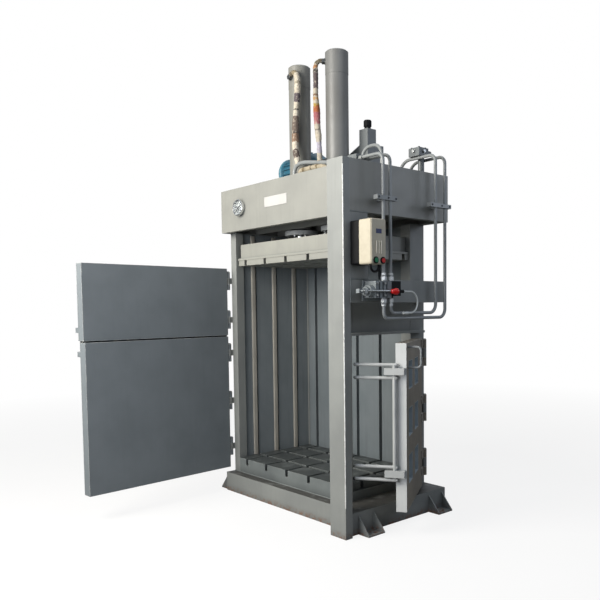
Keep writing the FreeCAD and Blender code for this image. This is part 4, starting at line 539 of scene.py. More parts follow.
# ---------------------------------------------------------------- meshes
def stand(name: str, mesh: bpy.types.Mesh, body: str,
          finish: object | None = None) -> bpy.types.Object:
    """Put a mesh in the scene as a piece of one body.

    Args:
        name: Name of the piece.
        mesh: Mesh in the object's own frame.
        body: CAD body that it rides on.
        finish: Finish, unless the mesh has its material already.

    Returns:
        The piece.
    """
    piece = bpy.data.objects.new(name, mesh)
    bpy.context.scene.collection.objects.link(piece)
    if finish is not None:
        mesh.materials.clear()
        mesh.materials.append(material_of(finish))
    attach(piece, body)
    LOG.info("%s: %d faces on %s", name, len(mesh.polygons), body)
    return piece


def from_bmesh(name: str, shape: bmesh.types.BMesh, smooth: bool = False) -> bpy.types.Mesh:
    """Write a bmesh to a mesh with outward faces.

    Args:
        name: Name of the mesh.
        shape: Closed shape, freed here.
        smooth: Whether its faces are shaded smooth.

    Returns:
        The mesh.
    """
    bmesh.ops.recalc_face_normals(shape, faces=shape.faces)
    for face in shape.faces:
        face.smooth = smooth
    mesh = bpy.data.meshes.new(name)
    shape.to_mesh(mesh)
    shape.free()
    return mesh


def eased_box(name: str, low: Sequence[float], high: Sequence[float], ease: float) -> bpy.types.Mesh:
    """Box with rounded edges between two corners.

    Args:
        name: Name of the mesh.
        low: Lowest corner.
        high: Highest corner.
        ease: Radius of its edges.

    Returns:
        The mesh.
    """
    shape = bmesh.new()
    bmesh.ops.create_cube(shape, size=1.0)
    first, last = Vector(low), Vector(high)
    for vert in shape.verts:
        vert.co = Vector(first[axis] + (vert.co[axis] + 0.5) * (last[axis] - first[axis])
                         for axis in range(3))
    bmesh.ops.bevel(shape, geom=list(shape.edges), offset=ease, segments=3, profile=0.5, affect="EDGES")
    return from_bmesh(name, shape)


def lathe(name: str, profile: Sequence[tuple[float, float]], foot: Sequence[float], axis: Sequence[float],
          steps: int = 40, smooth: bool = False) -> bpy.types.Mesh:
    """Shape turned about an axis.

    Args:
        name: Name of the mesh.
        profile: Radius and height of each corner, from the foot up, closed on the axis at both ends.
        foot: Point where the height is nought.
        axis: Direction of the height.
        steps: Faces round the axis.
        smooth: Whether its faces are shaded smooth.

    Returns:
        The mesh.
    """
    shape = bmesh.new()
    rings = []
    for radius, height in profile:
        if radius == 0.0:
            rings.append([shape.verts.new((0.0, 0.0, height))])
            continue
        rings.append([shape.verts.new((radius * math.cos(math.tau * step / steps),
                                       radius * math.sin(math.tau * step / steps),
                                       height)) for step in range(steps)])
    for lower, upper in zip(rings, rings[1:]):
        for step in range(steps):
            after = (step + 1) % steps
            corners = [lower[step % len(lower)], lower[after % len(lower)],
                       upper[after % len(upper)], upper[step % len(upper)]]
            kept = [vert for place, vert in enumerate(corners) if vert not in corners[:place]]
            if len(kept) > 2:
                shape.faces.new(kept)
    turn = Vector(UP).rotation_difference(Vector(axis)).to_matrix().to_4x4()
    bmesh.ops.transform(shape, matrix=Matrix.Translation(Vector(foot)) @ turn, verts=shape.verts)
    bmesh.ops.remove_doubles(shape, verts=shape.verts, dist=MERGE)
    return from_bmesh(name, shape, smooth)


def spots_seed(spots: Iterable[Spot]) -> bpy.types.Mesh:
    """Seed of loose points, each with the direction that its copy faces.

    Args:
        spots: Place and outward direction of each point.

    Returns:
        The mesh.
    """
    pairs = list(spots)
    mesh = bpy.data.meshes.new("spots")
    mesh.from_pydata([tuple(place) for place, _ in pairs], [], [])
    facing = mesh.attributes.new("outward", "FLOAT_VECTOR", "POINT")
    for item, (_, way) in zip(facing.data, pairs):
        item.vector = tuple(way)
    return mesh


def lines_seed(lines: Iterable[Line]) -> bpy.types.Mesh:
    """Seed of open lines, each through its own points.

    Args:
        lines: Points of each line in order.

    Returns:
        The mesh.
    """
    points, edges = [], []
    for line in lines:
        start = len(points)
        points += [tuple(spot) for spot in line]
        edges += [(place, place + 1) for place in range(start, len(points) - 1)]
    mesh = bpy.data.meshes.new("lines")
    mesh.from_pydata(points, edges, [])
    return mesh


def girth_seed(route: Iterable[Sequence[float]]) -> bpy.types.Mesh:
    """Seed of one line whose points carry a radius.

    Args:
        route: Three coordinates and the radius of each point in order.

    Returns:
        The mesh.
    """
    spots = list(route)
    mesh = lines_seed([[spot[:3] for spot in spots]])
    girth = mesh.attributes.new("girth", "FLOAT", "POINT")
    for item, spot in zip(girth.data, spots):
        item.value = spot[3]
    return mesh


def prism(name: str, corners: Sequence[tuple[float, float]], low: float, high: float) -> bpy.types.Mesh:
    """Upright bar with a given level outline.

    Args:
        name: Name of the mesh.
        corners: Outline in X and Y.
        low: Height of its foot.
        high: Height of its top.

    Returns:
        The mesh.
    """
    shape = bmesh.new()
    foot = shape.faces.new([shape.verts.new((x, y, low)) for x, y in corners])
    risen = bmesh.ops.extrude_face_region(shape, geom=[foot])
    bmesh.ops.translate(shape, vec=(0.0, 0.0, high - low),
                        verts=[part for part in risen["geom"] if isinstance(part, bmesh.types.BMVert)])
    return from_bmesh(name, shape)


def ring_line(centre: Sequence[float], radius: float, steps: int = 36) -> list[Vector]:
    """Closed level circle as a line of points."""
    middle = Vector(centre)
    return [middle + Vector((math.cos(math.tau * step / steps), math.sin(math.tau * step / steps),
                             0.0)) * radius
            for step in range(steps + 1)]


def frame_line(low: Sequence[float], high: Sequence[float], level: float) -> list[Vector]:
    """Closed level rectangle as a line of points."""
    (x0, y0), (x1, y1) = low, high
    return [Vector((x, y, level)) for x, y in ((x0, y0), (x1, y0), (x1, y1), (x0, y1), (x0, y0))]


# ---------------------------------------------------------------- Geometry Nodes recipes
class Recipe:
    """Geometry Nodes tree with named inputs, whose result is kept as a plain mesh."""

    def __init__(self, name: str, lengths: tuple[str, ...], counts: tuple[str, ...] = ()) -> None:
        """Open the tree.

        Args:
            name: Name of the tree.
            lengths: Names of the inputs that are lengths.
            counts: Names of the inputs that are whole numbers.
        """
        self.tree = bpy.data.node_groups.new(name, "GeometryNodeTree")
        outside = self.tree.interface
        kinds = {"Geometry": "NodeSocketGeometry", **dict.fromkeys(lengths, "NodeSocketFloat"),
                 **dict.fromkeys(counts, "NodeSocketInt"), "Material": "NodeSocketMaterial"}
        for label, kind in kinds.items():
            outside.new_socket(label, in_out="INPUT", socket_type=kind)
        outside.new_socket("Geometry", in_out="OUTPUT", socket_type="NodeSocketGeometry")
        self.start = add_node(self.tree, "NodeGroupInput")

    def size(self, label: str) -> Socket:
        """Socket of a named input."""
        return self.start.outputs[label]

    def math(self, operation: str, *terms: object) -> Socket:
        """Result of one step of arithmetic on numbers and sockets."""
        return add_node(self.tree, "ShaderNodeMath", dict(enumerate(terms)),
                        operation=operation).outputs["Value"]

    def path(self, step: object, flowing: bool = True) -> Socket:
        """Lines of the seed as curves of even steps.

        Args:
            step: Length of a step.
            flowing: Whether the curves bend smoothly through their points.

        Returns:
            Socket of the curves.
        """
        curve = add_node(self.tree, "GeometryNodeMeshToCurve",
                         {"Mesh": self.size("Geometry")}).outputs["Curve"]
        if flowing:
            curve = add_node(self.tree, "GeometryNodeCurveSplineType", {"Curve": curve},
                             spline_type="CATMULL_ROM").outputs["Curve"]
        return add_node(self.tree, "GeometryNodeResampleCurve", {"Curve": curve, "Length": step},
                        mode="LENGTH").outputs["Curve"]

    def aimed(self) -> Socket:
        """Rotation that turns Z to the attribute named outward."""
        facing = add_node(self.tree, "GeometryNodeInputNamedAttribute", {"Name": "outward"},
                          data_type="FLOAT_VECTOR")
        return add_node(self.tree, "FunctionNodeAlignRotationToVector",
                        {"Vector": facing.outputs["Attribute"]}, axis="Z").outputs["Rotation"]

    def close(self, geometry: Socket, smooth: bool) -> None:
        """End the tree in plain geometry with its material.

        Args:
            geometry: What the tree has made.
            smooth: Whether the faces are shaded smooth.
        """
        whole = add_node(self.tree, "GeometryNodeRealizeInstances", {"Geometry": geometry})
        shaded = add_node(self.tree, "GeometryNodeSetShadeSmooth",
                          {"Geometry": whole.outputs["Geometry"], "Shade Smooth": smooth})
        dressed = add_node(self.tree, "GeometryNodeSetMaterial",
                           {"Geometry": shaded.outputs["Geometry"], "Material": self.size("Material")})
        add_node(self.tree, "NodeGroupOutput", {"Geometry": dressed.outputs["Geometry"]})

    def grow(self, name: str, seed: bpy.types.Mesh, body: str, slot: str, finish: object,
             **sizes: float) -> bpy.types.Object:
        """Run the tree on a seed and keep the result.

        Args:
            name: Name of the piece.
            seed: Mesh that the tree starts from.
            body: CAD body that the piece rides on.
            slot: Not used.
            finish: Finish of the piece.
            sizes: Named inputs, with underscores for blanks.

        Returns:
            The piece.
        """
        holder = bpy.data.objects.new(name + "_seed", seed)
        bpy.context.scene.collection.objects.link(holder)
        modifier = holder.modifiers.new("recipe", "NODES")
        modifier.node_group = self.tree
        values = {label.replace("_", " "): value for label, value in sizes.items()}
        values["Material"] = material_of(finish)
        for item in self.tree.interface.items_tree:
            if item.in_out == "INPUT" and item.name in values:
                modifier[item.identifier] = values[item.name]
        graph = bpy.context.evaluated_depsgraph_get()
        mesh = bpy.data.meshes.new_from_object(holder.evaluated_get(graph), depsgraph=graph)
        holder.modifiers.remove(modifier)
        bpy.data.objects.remove(holder)
        mesh.name = name
        return stand(name, mesh, body)


@functools.cache
def bolt_recipe() -> Recipe:
    """Hexagon head with a chamfered top on a round washer, one at each point."""
    recipe = Recipe("hexagon bolts", ("Corner radius", "Head height", "Washer radius", "Washer height"),
                    ("Seed",))
    tree = recipe.tree
    corner, tall, washer = (recipe.size(label) for label in ("Corner radius", "Head height", "Washer height"))
    # Shares of the head's height below and in its chamfer, and of its corner radius at both chamfer edges.
    straight, chamfer, flats, crown = 0.86, 0.14, 0.87, 0.74
    # Heads stand at any angle up to a sixth of a turn.
    widest_turn = 1.05
    shapes = (
        ("Cylinder", {"Vertices": 6, "Radius": corner, "Depth": recipe.math("MULTIPLY", tall, straight)},
         recipe.math("ADD", washer, recipe.math("MULTIPLY", tall, straight / 2))),
        ("Cone", {"Vertices": 18, "Radius Top": recipe.math("MULTIPLY", corner, crown),
                  "Radius Bottom": recipe.math("MULTIPLY", corner, flats),
                  "Depth": recipe.math("MULTIPLY", tall, chamfer)},
         recipe.math("ADD", washer, recipe.math("MULTIPLY", tall, straight))),
        ("Cylinder", {"Vertices": 24, "Radius": recipe.size("Washer radius"), "Depth": washer},
         recipe.math("MULTIPLY", washer, 0.5)),
    )
    joined = add_node(tree, "GeometryNodeJoinGeometry")
    for kind, inputs, rise in shapes:
        shape = add_node(tree, f"GeometryNodeMesh{kind}", inputs)
        lift = add_node(tree, "ShaderNodeCombineXYZ", {"Z": rise})
        moved = add_node(tree, "GeometryNodeTransform",
                         {"Geometry": shape.outputs["Mesh"], "Translation": lift.outputs["Vector"]})
        tree.links.new(moved.outputs["Geometry"], joined.inputs["Geometry"])
    chance = add_node(tree, "FunctionNodeRandomValue", {2: 0.0, 3: widest_turn, "Seed": recipe.size("Seed")},
                      data_type="FLOAT")
    spin = add_node(tree, "FunctionNodeAxisAngleToRotation", {"Axis": UP, "Angle": chance.outputs[1]})
    turned = add_node(tree, "FunctionNodeRotateRotation",
                      {"Rotation": recipe.aimed(), "Rotate By": spin.outputs["Rotation"]},
                      rotation_space="LOCAL")
    copies = add_node(tree, "GeometryNodeInstanceOnPoints",
                      {"Points": recipe.size("Geometry"), "Instance": joined.outputs["Geometry"],
                       "Rotation": turned.outputs["Rotation"]})
    recipe.close(copies.outputs["Instances"], smooth=False)
    return recipe


@functools.cache
def bead_recipe() -> Recipe:
    """Weld bead along each line, with its ripples and a slightly uneven width."""
    recipe = Recipe("weld beads", ("Bead radius", "Ripple"), ("Seed",))
    tree, ripple = recipe.tree, recipe.size("Ripple")
    # Shares of the bead's radius: at its thinnest, and what a ripple and the welder's hand add.
    thinnest, rippled, unsteady, unsteady_mm, sides = 0.62, 0.22, 0.4, 45.0, 6
    fine = recipe.path(recipe.math("DIVIDE", ripple, 2.0), flowing=False)
    length = add_node(tree, "GeometryNodeSplineParameter").outputs["Length"]
    phase = recipe.math("MULTIPLY", recipe.math("DIVIDE", length, ripple), math.pi)
    wave = recipe.math("MULTIPLY", recipe.math("ABSOLUTE", recipe.math("SINE", phase)), rippled)
    noise = add_node(tree, "ShaderNodeTexNoise",
                     {"W": recipe.size("Seed"), "Scale": per_metre(unsteady_mm), "Detail": 1.0},
                     noise_dimensions="4D").outputs["Fac"]
    uneven = recipe.math("ADD", recipe.math("MULTIPLY", noise, unsteady), thinnest)
    width = recipe.math("MULTIPLY", recipe.math("ADD", wave, uneven), recipe.size("Bead radius"))
    profile = add_node(tree, "GeometryNodeCurvePrimitiveCircle", {"Resolution": sides, "Radius": 1.0})
    bead = add_node(tree, "GeometryNodeCurveToMesh",
                    {"Curve": fine, "Profile Curve": profile.outputs["Curve"], "Scale": width,
                     "Fill Caps": True})
    recipe.close(bead.outputs["Mesh"], smooth=True)
    return recipe


@functools.cache
def wrap_recipe() -> Recipe:
    """Hose wound with overlapping tape: each turn steps up over the one before, and the whole is lumpy."""
    recipe = Recipe("taped hose", ("Tape width", "Tape step", "Lump"), ("Sides", "Seed"))
    tree, sides = recipe.tree, recipe.size("Sides")
    stride, lump_mm = 0.0028, 48.0
    kept = {"data_type": "FLOAT", "domain": "POINT"}
    girth, along, around = (add_node(tree, "GeometryNodeInputNamedAttribute", {"Name": label},
                                     data_type="FLOAT").outputs["Attribute"]
                            for label in ("girth", "along", "around"))
    length = add_node(tree, "GeometryNodeSplineParameter").outputs["Length"]
    line = add_node(tree, "GeometryNodeStoreNamedAttribute",
                    {"Geometry": recipe.path(stride), "Name": "along", "Value": length}, **kept)
    circle = add_node(tree, "GeometryNodeCurvePrimitiveCircle", {"Resolution": sides, "Radius": 1.0})
    share = recipe.math("DIVIDE", add_node(tree, "GeometryNodeInputIndex").outputs["Index"], sides)
    ring = add_node(tree, "GeometryNodeStoreNamedAttribute",
                    {"Geometry": circle.outputs["Curve"], "Name": "around", "Value": share}, **kept)
    tube = add_node(tree, "GeometryNodeCurveToMesh",
                    {"Curve": line.outputs["Geometry"], "Profile Curve": ring.outputs["Geometry"],
                     "Scale": girth, "Fill Caps": True})
    turn = recipe.math("ADD", recipe.math("DIVIDE", along, recipe.size("Tape width")), around)
    counted = add_node(tree, "GeometryNodeStoreNamedAttribute",
                       {"Geometry": tube.outputs["Mesh"], "Name": "turn", "Value": turn}, **kept)
    lumps = add_node(tree, "ShaderNodeTexNoise",
                     {"W": recipe.size("Seed"), "Scale": per_metre(lump_mm), "Detail": 3.0},
                     noise_dimensions="4D").outputs["Fac"]
    swell = recipe.math("MULTIPLY", recipe.math("SUBTRACT", lumps, 0.5), recipe.size("Lump"))
    step = recipe.math("MULTIPLY", recipe.math("FRACT", turn), recipe.size("Tape step"))
    normal = add_node(tree, "GeometryNodeInputNormal").outputs["Normal"]
    offset = add_node(tree, "ShaderNodeVectorMath", {0: normal, "Scale": recipe.math("ADD", swell, step)},
                      operation="SCALE")
    shaped = add_node(tree, "GeometryNodeSetPosition",
                      {"Geometry": counted.outputs["Geometry"], "Offset": offset.outputs["Vector"]})
    recipe.close(shaped.outputs["Geometry"], smooth=True)
    return recipe


@functools.cache
def tube_recipe() -> Recipe:
    """Smooth bent tube through the points of each line."""
    recipe = Recipe("bent tube", ("Tube radius",), ("Sides",))
    stride = 0.006
    profile = add_node(recipe.tree, "GeometryNodeCurvePrimitiveCircle",
                       {"Resolution": recipe.size("Sides"), "Radius": recipe.size("Tube radius")})
    tube = add_node(recipe.tree, "GeometryNodeCurveToMesh",
                    {"Curve": recipe.path(stride), "Profile Curve": profile.outputs["Curve"], "Scale": 1.0,
                     "Fill Caps": True})
    recipe.close(tube.outputs["Mesh"], smooth=True)
    return recipe


@functools.cache
def slat_recipe() -> Recipe:
    """Small rounded bar at each point, its long side along the attribute named outward."""
    recipe = Recipe("slats", ("Length", "Width", "Thickness"))
    tree = recipe.tree
    size = add_node(tree, "ShaderNodeCombineXYZ",
                    {"X": recipe.size("Width"), "Y": recipe.size("Thickness"), "Z": recipe.size("Length")})
    core = add_node(tree, "GeometryNodeMeshCube",
                    {"Size": size.outputs["Vector"], "Vertices X": 3, "Vertices Y": 2, "Vertices Z": 4})
    soft = add_node(tree, "GeometryNodeSubdivisionSurface",
                    {"Mesh": core.outputs["Mesh"], "Level": 2, "Edge Crease": 0.4})
    copies = add_node(tree, "GeometryNodeInstanceOnPoints",
                      {"Points": recipe.size("Geometry"), "Instance": soft.outputs["Mesh"],
                       "Rotation": recipe.aimed()})
    recipe.close(copies.outputs["Instances"], smooth=True)
    return recipe


@dataclass(frozen=True)
class Bolt:
    """Sizes of a hexagon head and its washer."""

    corner: float
    head: float
    washer: float
    washer_height: float

    def fix(self, name: str, spots: Iterable[Spot],
            finish: object = BRIGHT_STEEL, slot: str = "bright_steel", seed: int = SEED) -> None:
        """Set one bolt at each spot of the fixed frame.

        Args:
            name: Name of the piece.
            spots: Place and outward direction of each bolt.
            finish: Finish of the bolts.
            slot: Material slot of the record.
            seed: Seed of the angles at which the heads stand.
        """
        bolt_recipe().grow(name, spots_seed(spots), "frame", slot, finish, Corner_radius=self.corner,
                           Head_height=self.head, Washer_radius=self.washer, Washer_height=self.washer_height,
                           Seed=seed)


def weld(name: str, lines: Iterable[Line], body: str = "frame", radius: float = 0.004,
         ripple: float = 0.010, seed: int = SEED) -> None:
    """Lay a weld bead along each line.

    Args:
        name: Name of the piece.
        lines: Points of each line in order.
        body: CAD body that the welds ride on.
        radius: Radius of the bead.
        ripple: Distance between its ripples.
        seed: Seed of its unevenness.
    """
    bead_recipe().grow(name, lines_seed(lines), body, "frame_paint", WELD_METAL, Bead_radius=radius,
                       Ripple=ripple, Seed=seed)


# ---------------------------------------------------------------- press frame
@dataclass
class PressFrame:
    """Base, posts, head, side beam and chamber walls, with their welds."""

    half_width: float = 0.850
    half_depth: float = 0.483
    base_top: float = 0.160
    base_right: float = 0.820
    head_low: float = 2.247
    head_top: float = 2.600
    post_back: float = -0.554
    post_left: float = 0.690
    beam_low: float = 1.630
    beam_top: float = 1.790
    gusset_end: float = -0.388
    foot_ribs: tuple[float, ...] = (-0.462, -0.318, 0.293, 0.437)
    foot_rise: float = 0.135
    foot_reach: float = 0.105
    foot_plate: float = 0.010
    posts: tuple = (((-0.850, -0.393), (-0.774, -0.317)), ((0.440, -0.393), (0.603, -0.317)),
                    ((0.503, 0.323), (0.603, 0.483)), ((-0.850, 0.407), (-0.774, 0.483)))
    tray_front: float = -0.393
    tray_left: float = -0.774
    tray_right: float = 0.440
    bead: float = 0.0045
    flush: float = 1.3
    chip: float = 0.0046
    chip_in: float = 0.4
    chip_pitch: float = 0.021
    chip_low: float = 0.22
    chip_high: float = 2.55
    bar_places: tuple[float, ...] = (-0.210, 0.018, 0.246)
    bar_width: float = 0.040
    bar_proud: float = 0.008
    bar_sunk: float = 0.001
    bar_round: float = 0.016
    bar_round_deg: tuple[int, ...] = (90, 68, 45, 23)
    bar_low: float = 0.286
    bar_high: float = 2.235

    def chipped_edge(self) -> None:
        """Uneven pale line where the paint is chipped off the post's corner."""
        low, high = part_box("tall_post")
        x, y = high.x - self.chip * self.chip_in, low.y + self.chip * self.chip_in
        line = [(x, y, self.chip_low), (x, y, self.chip_high)]
        bead_recipe().grow("post_chips", lines_seed([line]), "frame", "bright_steel", CHIP_PAINT,
                           Bead_radius=self.chip, Ripple=self.chip_pitch, Seed=SEED + 5)

    def groove_highlight_bars(self) -> None:
        """Pale bars along the strap grooves of the left wall, half round on their front edge: a painted
        highlight of the lit groove sides.
        """
        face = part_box("left_wall")[1].x
        for number, middle in enumerate(self.bar_places):
            front, back = middle - self.bar_width / 2, middle + self.bar_width / 2
            corners = [(face - self.bar_sunk, front), (face - self.bar_sunk, back),
                       (face + self.bar_proud, back)]
            corners += [(face + self.bar_proud * math.sin(turn),
                         front + self.bar_round * (1 - math.cos(turn)))
                        for turn in map(math.radians, self.bar_round_deg)]
            bar = prism(f"wall_bar_{number}", corners, self.bar_low, self.bar_high)
            stand(f"wall_bar_{number}", bar, "frame", GROOVE_HIGHLIGHT_PAINT)

    def dress(self) -> None:
        """Give the CAD nodes their paint."""
        dress(("base_frame",), BASE_PAINT)
        dress(("anchor_feet", "tall_post", "chamber_posts", "mid_beam", "side_lintel", "hinge_leaves"),
              FRAME_PAINT)
        dress(("head_frame", "head_deck"), HEAD_PAINT)
        dress(("left_wall",), WALL_PAINT)
        dress(("back_wall",), SHADED_BACK_PAINT)
        dress(("floor_grid",), SHADED_FLOOR_PAINT)
        dress(("hinge_pins",), BRIGHT_STEEL)

    def seams(self) -> list[list[Sequence[float]]]:
        """Lines of the welds on the fixed frame."""
        # The rear beads lie just inside the frame's back face.
        rear = self.half_depth - self.flush * self.bead
        lines = [frame_line(low, (high[0], min(high[1], rear)), level)
                 for low, high in self.posts for level in (self.base_top, self.head_low)]
        right, base, back, head = self.half_width, self.base_right, self.post_back, -self.half_depth
        lines += [
            [(self.tray_left, self.tray_front, self.base_top),
             (self.tray_right, self.tray_front, self.base_top)],
            [(right, back, self.beam_low), (right, back, self.beam_top)],
            [(right, back, self.beam_top), (right, self.gusset_end, self.beam_top)],
            [(right, back, self.head_low), (right, self.gusset_end, self.head_low)],
            [(self.post_left, head, self.head_low), (self.post_left, head, self.head_top)],
            [(base, back, 0.0), (base, back, self.base_top)],
        ]
        for wall, reach in ((base, self.foot_reach), (-self.half_width, -self.foot_reach)):
            lines += [[(wall, rib, self.foot_rise), (wall, rib, self.foot_plate),
                       (wall + reach, rib, self.foot_plate)]
                      for rib in self.foot_ribs]
        return lines

    def build(self) -> None:
        """Dress the frame, set the painted-highlight bars in the wall grooves and lay the welds."""
        self.dress()
        self.groove_highlight_bars()
        self.chipped_edge()
        weld("frame_welds", self.seams(), radius=self.bead)


# ---------------------------------------------------------------- rams and platen
@dataclass
class RamPair:
    """The two rams with their caps, rods and foot bolts, and the platen that they press down."""

    centres: tuple[tuple[float, float], ...] = ((-0.340, -0.012), (0.132, -0.012))
    radius: float = 0.091
    deck: float = 2.600
    flange: float = 0.025
    half_flange: float = 0.100
    bolt_in: float = 0.020
    flange_bolt: Bolt = Bolt(0.0155, 0.016, 0.018, 0.003)
    port_levels: tuple[float, ...] = (3.520, 3.545)
    port_ways: tuple[float, ...] = (-90.0, -132.0)
    boss_radius: float = 0.026
    boss_height: float = 0.010
    boss_ease: float = 0.002
    boss_sunk: float = 0.004
    union: Bolt = Bolt(0.023, 0.020, 0.021, 0.003)
    platen_top: float = 2.028
    gland_levels: tuple[float, float] = (2.210, 2.2465)
    gland_r: float = 0.140
    gland_bore: float = 0.053
    gland_ease: float = 0.003
    gland_pitch_r: float = 0.118
    gland_count: int = 8
    gland_bolt: Bolt = Bolt(0.0105, 0.012, 0.012, 0.002)
    beam_low: tuple[float, float] = (-0.740, -0.365)
    beam_high: tuple[float, float] = (0.424, 0.315)

    def dress(self) -> None:
        """Give the CAD nodes their finishes."""
        dress(("cylinder_right", "cylinder_cap_right"), RAM_PAINT)
        dress(("cylinder_left", "cylinder_cap_left"), LIT_LEFT_RAM_PAINT)
        dress(("press_rod_left", "press_rod_right"), CHROME)
        dress(("rod_foot_bolts",), BRIGHT_STEEL)
        dress(("platen_plate", "platen_beam"), PLATEN_PAINT)

    def flange_bolts(self) -> None:
        """Four bolts through each deck flange."""
        reach = self.half_flange - self.bolt_in
        spots = [((x + way_x * reach, y + way_y * reach, self.deck + self.flange), UP)
                 for x, y in self.centres for way_x in (-1, 1) for way_y in (-1, 1)]
        self.flange_bolt.fix("ram_flange_bolts", spots)

    def welds(self) -> None:
        """Round welds of the rams and the seam of the platen beam."""
        lines, half = [], self.half_flange
        for x, y in self.centres:
            lines.append(ring_line((x, y, self.deck + self.flange), self.radius))
            lines.append(frame_line((x - half, y - half), (x + half, y + half), self.deck))
        weld("ram_welds", lines, seed=SEED + 1)
        weld("platen_welds", [frame_line(self.beam_low, self.beam_high, self.platen_top)], "platen",
             seed=SEED + 2)

    def ports(self) -> None:
        """Round port bosses of the caps with their hexagon unions."""
        rim, top, ease = self.boss_radius, self.boss_height, self.boss_ease
        outline = [(0.0, 0.0), (rim, 0.0), (rim, top - ease), (rim - ease, top), (0.0, top)]
        for side, (x, y), angle, level in zip(SIDES, self.centres, self.port_ways, self.port_levels):
            way = Vector((math.cos(math.radians(angle)), math.sin(math.radians(angle)), 0.0))
            foot = Vector((x, y, level)) + way * (self.radius - self.boss_sunk)
            boss = lathe(f"port_boss_{side}", outline, foot, way)
            stand(f"port_boss_{side}", boss, "frame", CAST_IRON)
            self.union.fix(f"port_union_{side}", [(foot + way * top, way)], CAST_IRON, "valve_metal")

    def glands(self) -> None:
        """Gland flange of each ram under the head, with its ring of bolts."""
        low, high = self.gland_levels
        bore, rim, ease = self.gland_bore, self.gland_r, self.gland_ease
        outline = [(bore, low), (rim - ease, low), (rim, low + ease), (rim, high), (bore, high), (bore, low)]
        turns = [math.tau * (step + 0.5) / self.gland_count for step in range(self.gland_count)]
        spots, pitch = [], self.gland_pitch_r
        for side, (x, y) in zip(SIDES, self.centres):
            ring = lathe(f"gland_{side}", outline, (x, y, 0.0), UP, 64)
            stand(f"gland_{side}", ring, "frame", GLAND_PAINT)
            spots += [((x + pitch * math.cos(turn), y + pitch * math.sin(turn), low), DOWN) for turn in turns]
        self.gland_bolt.fix("gland_bolts", spots)

    def build(self) -> None:
        """Dress the rams and add their small parts."""
        self.dress()
        self.glands()
        self.flange_bolts()
        self.welds()
        self.ports()


@dataclass(frozen=True)
class HoseLine:
    """One taped hose: its route with the radius at each point, and the colours of its tape."""

    name: str
    route: tuple[tuple[float, float, float, float], ...]
    finish: TapeWrap


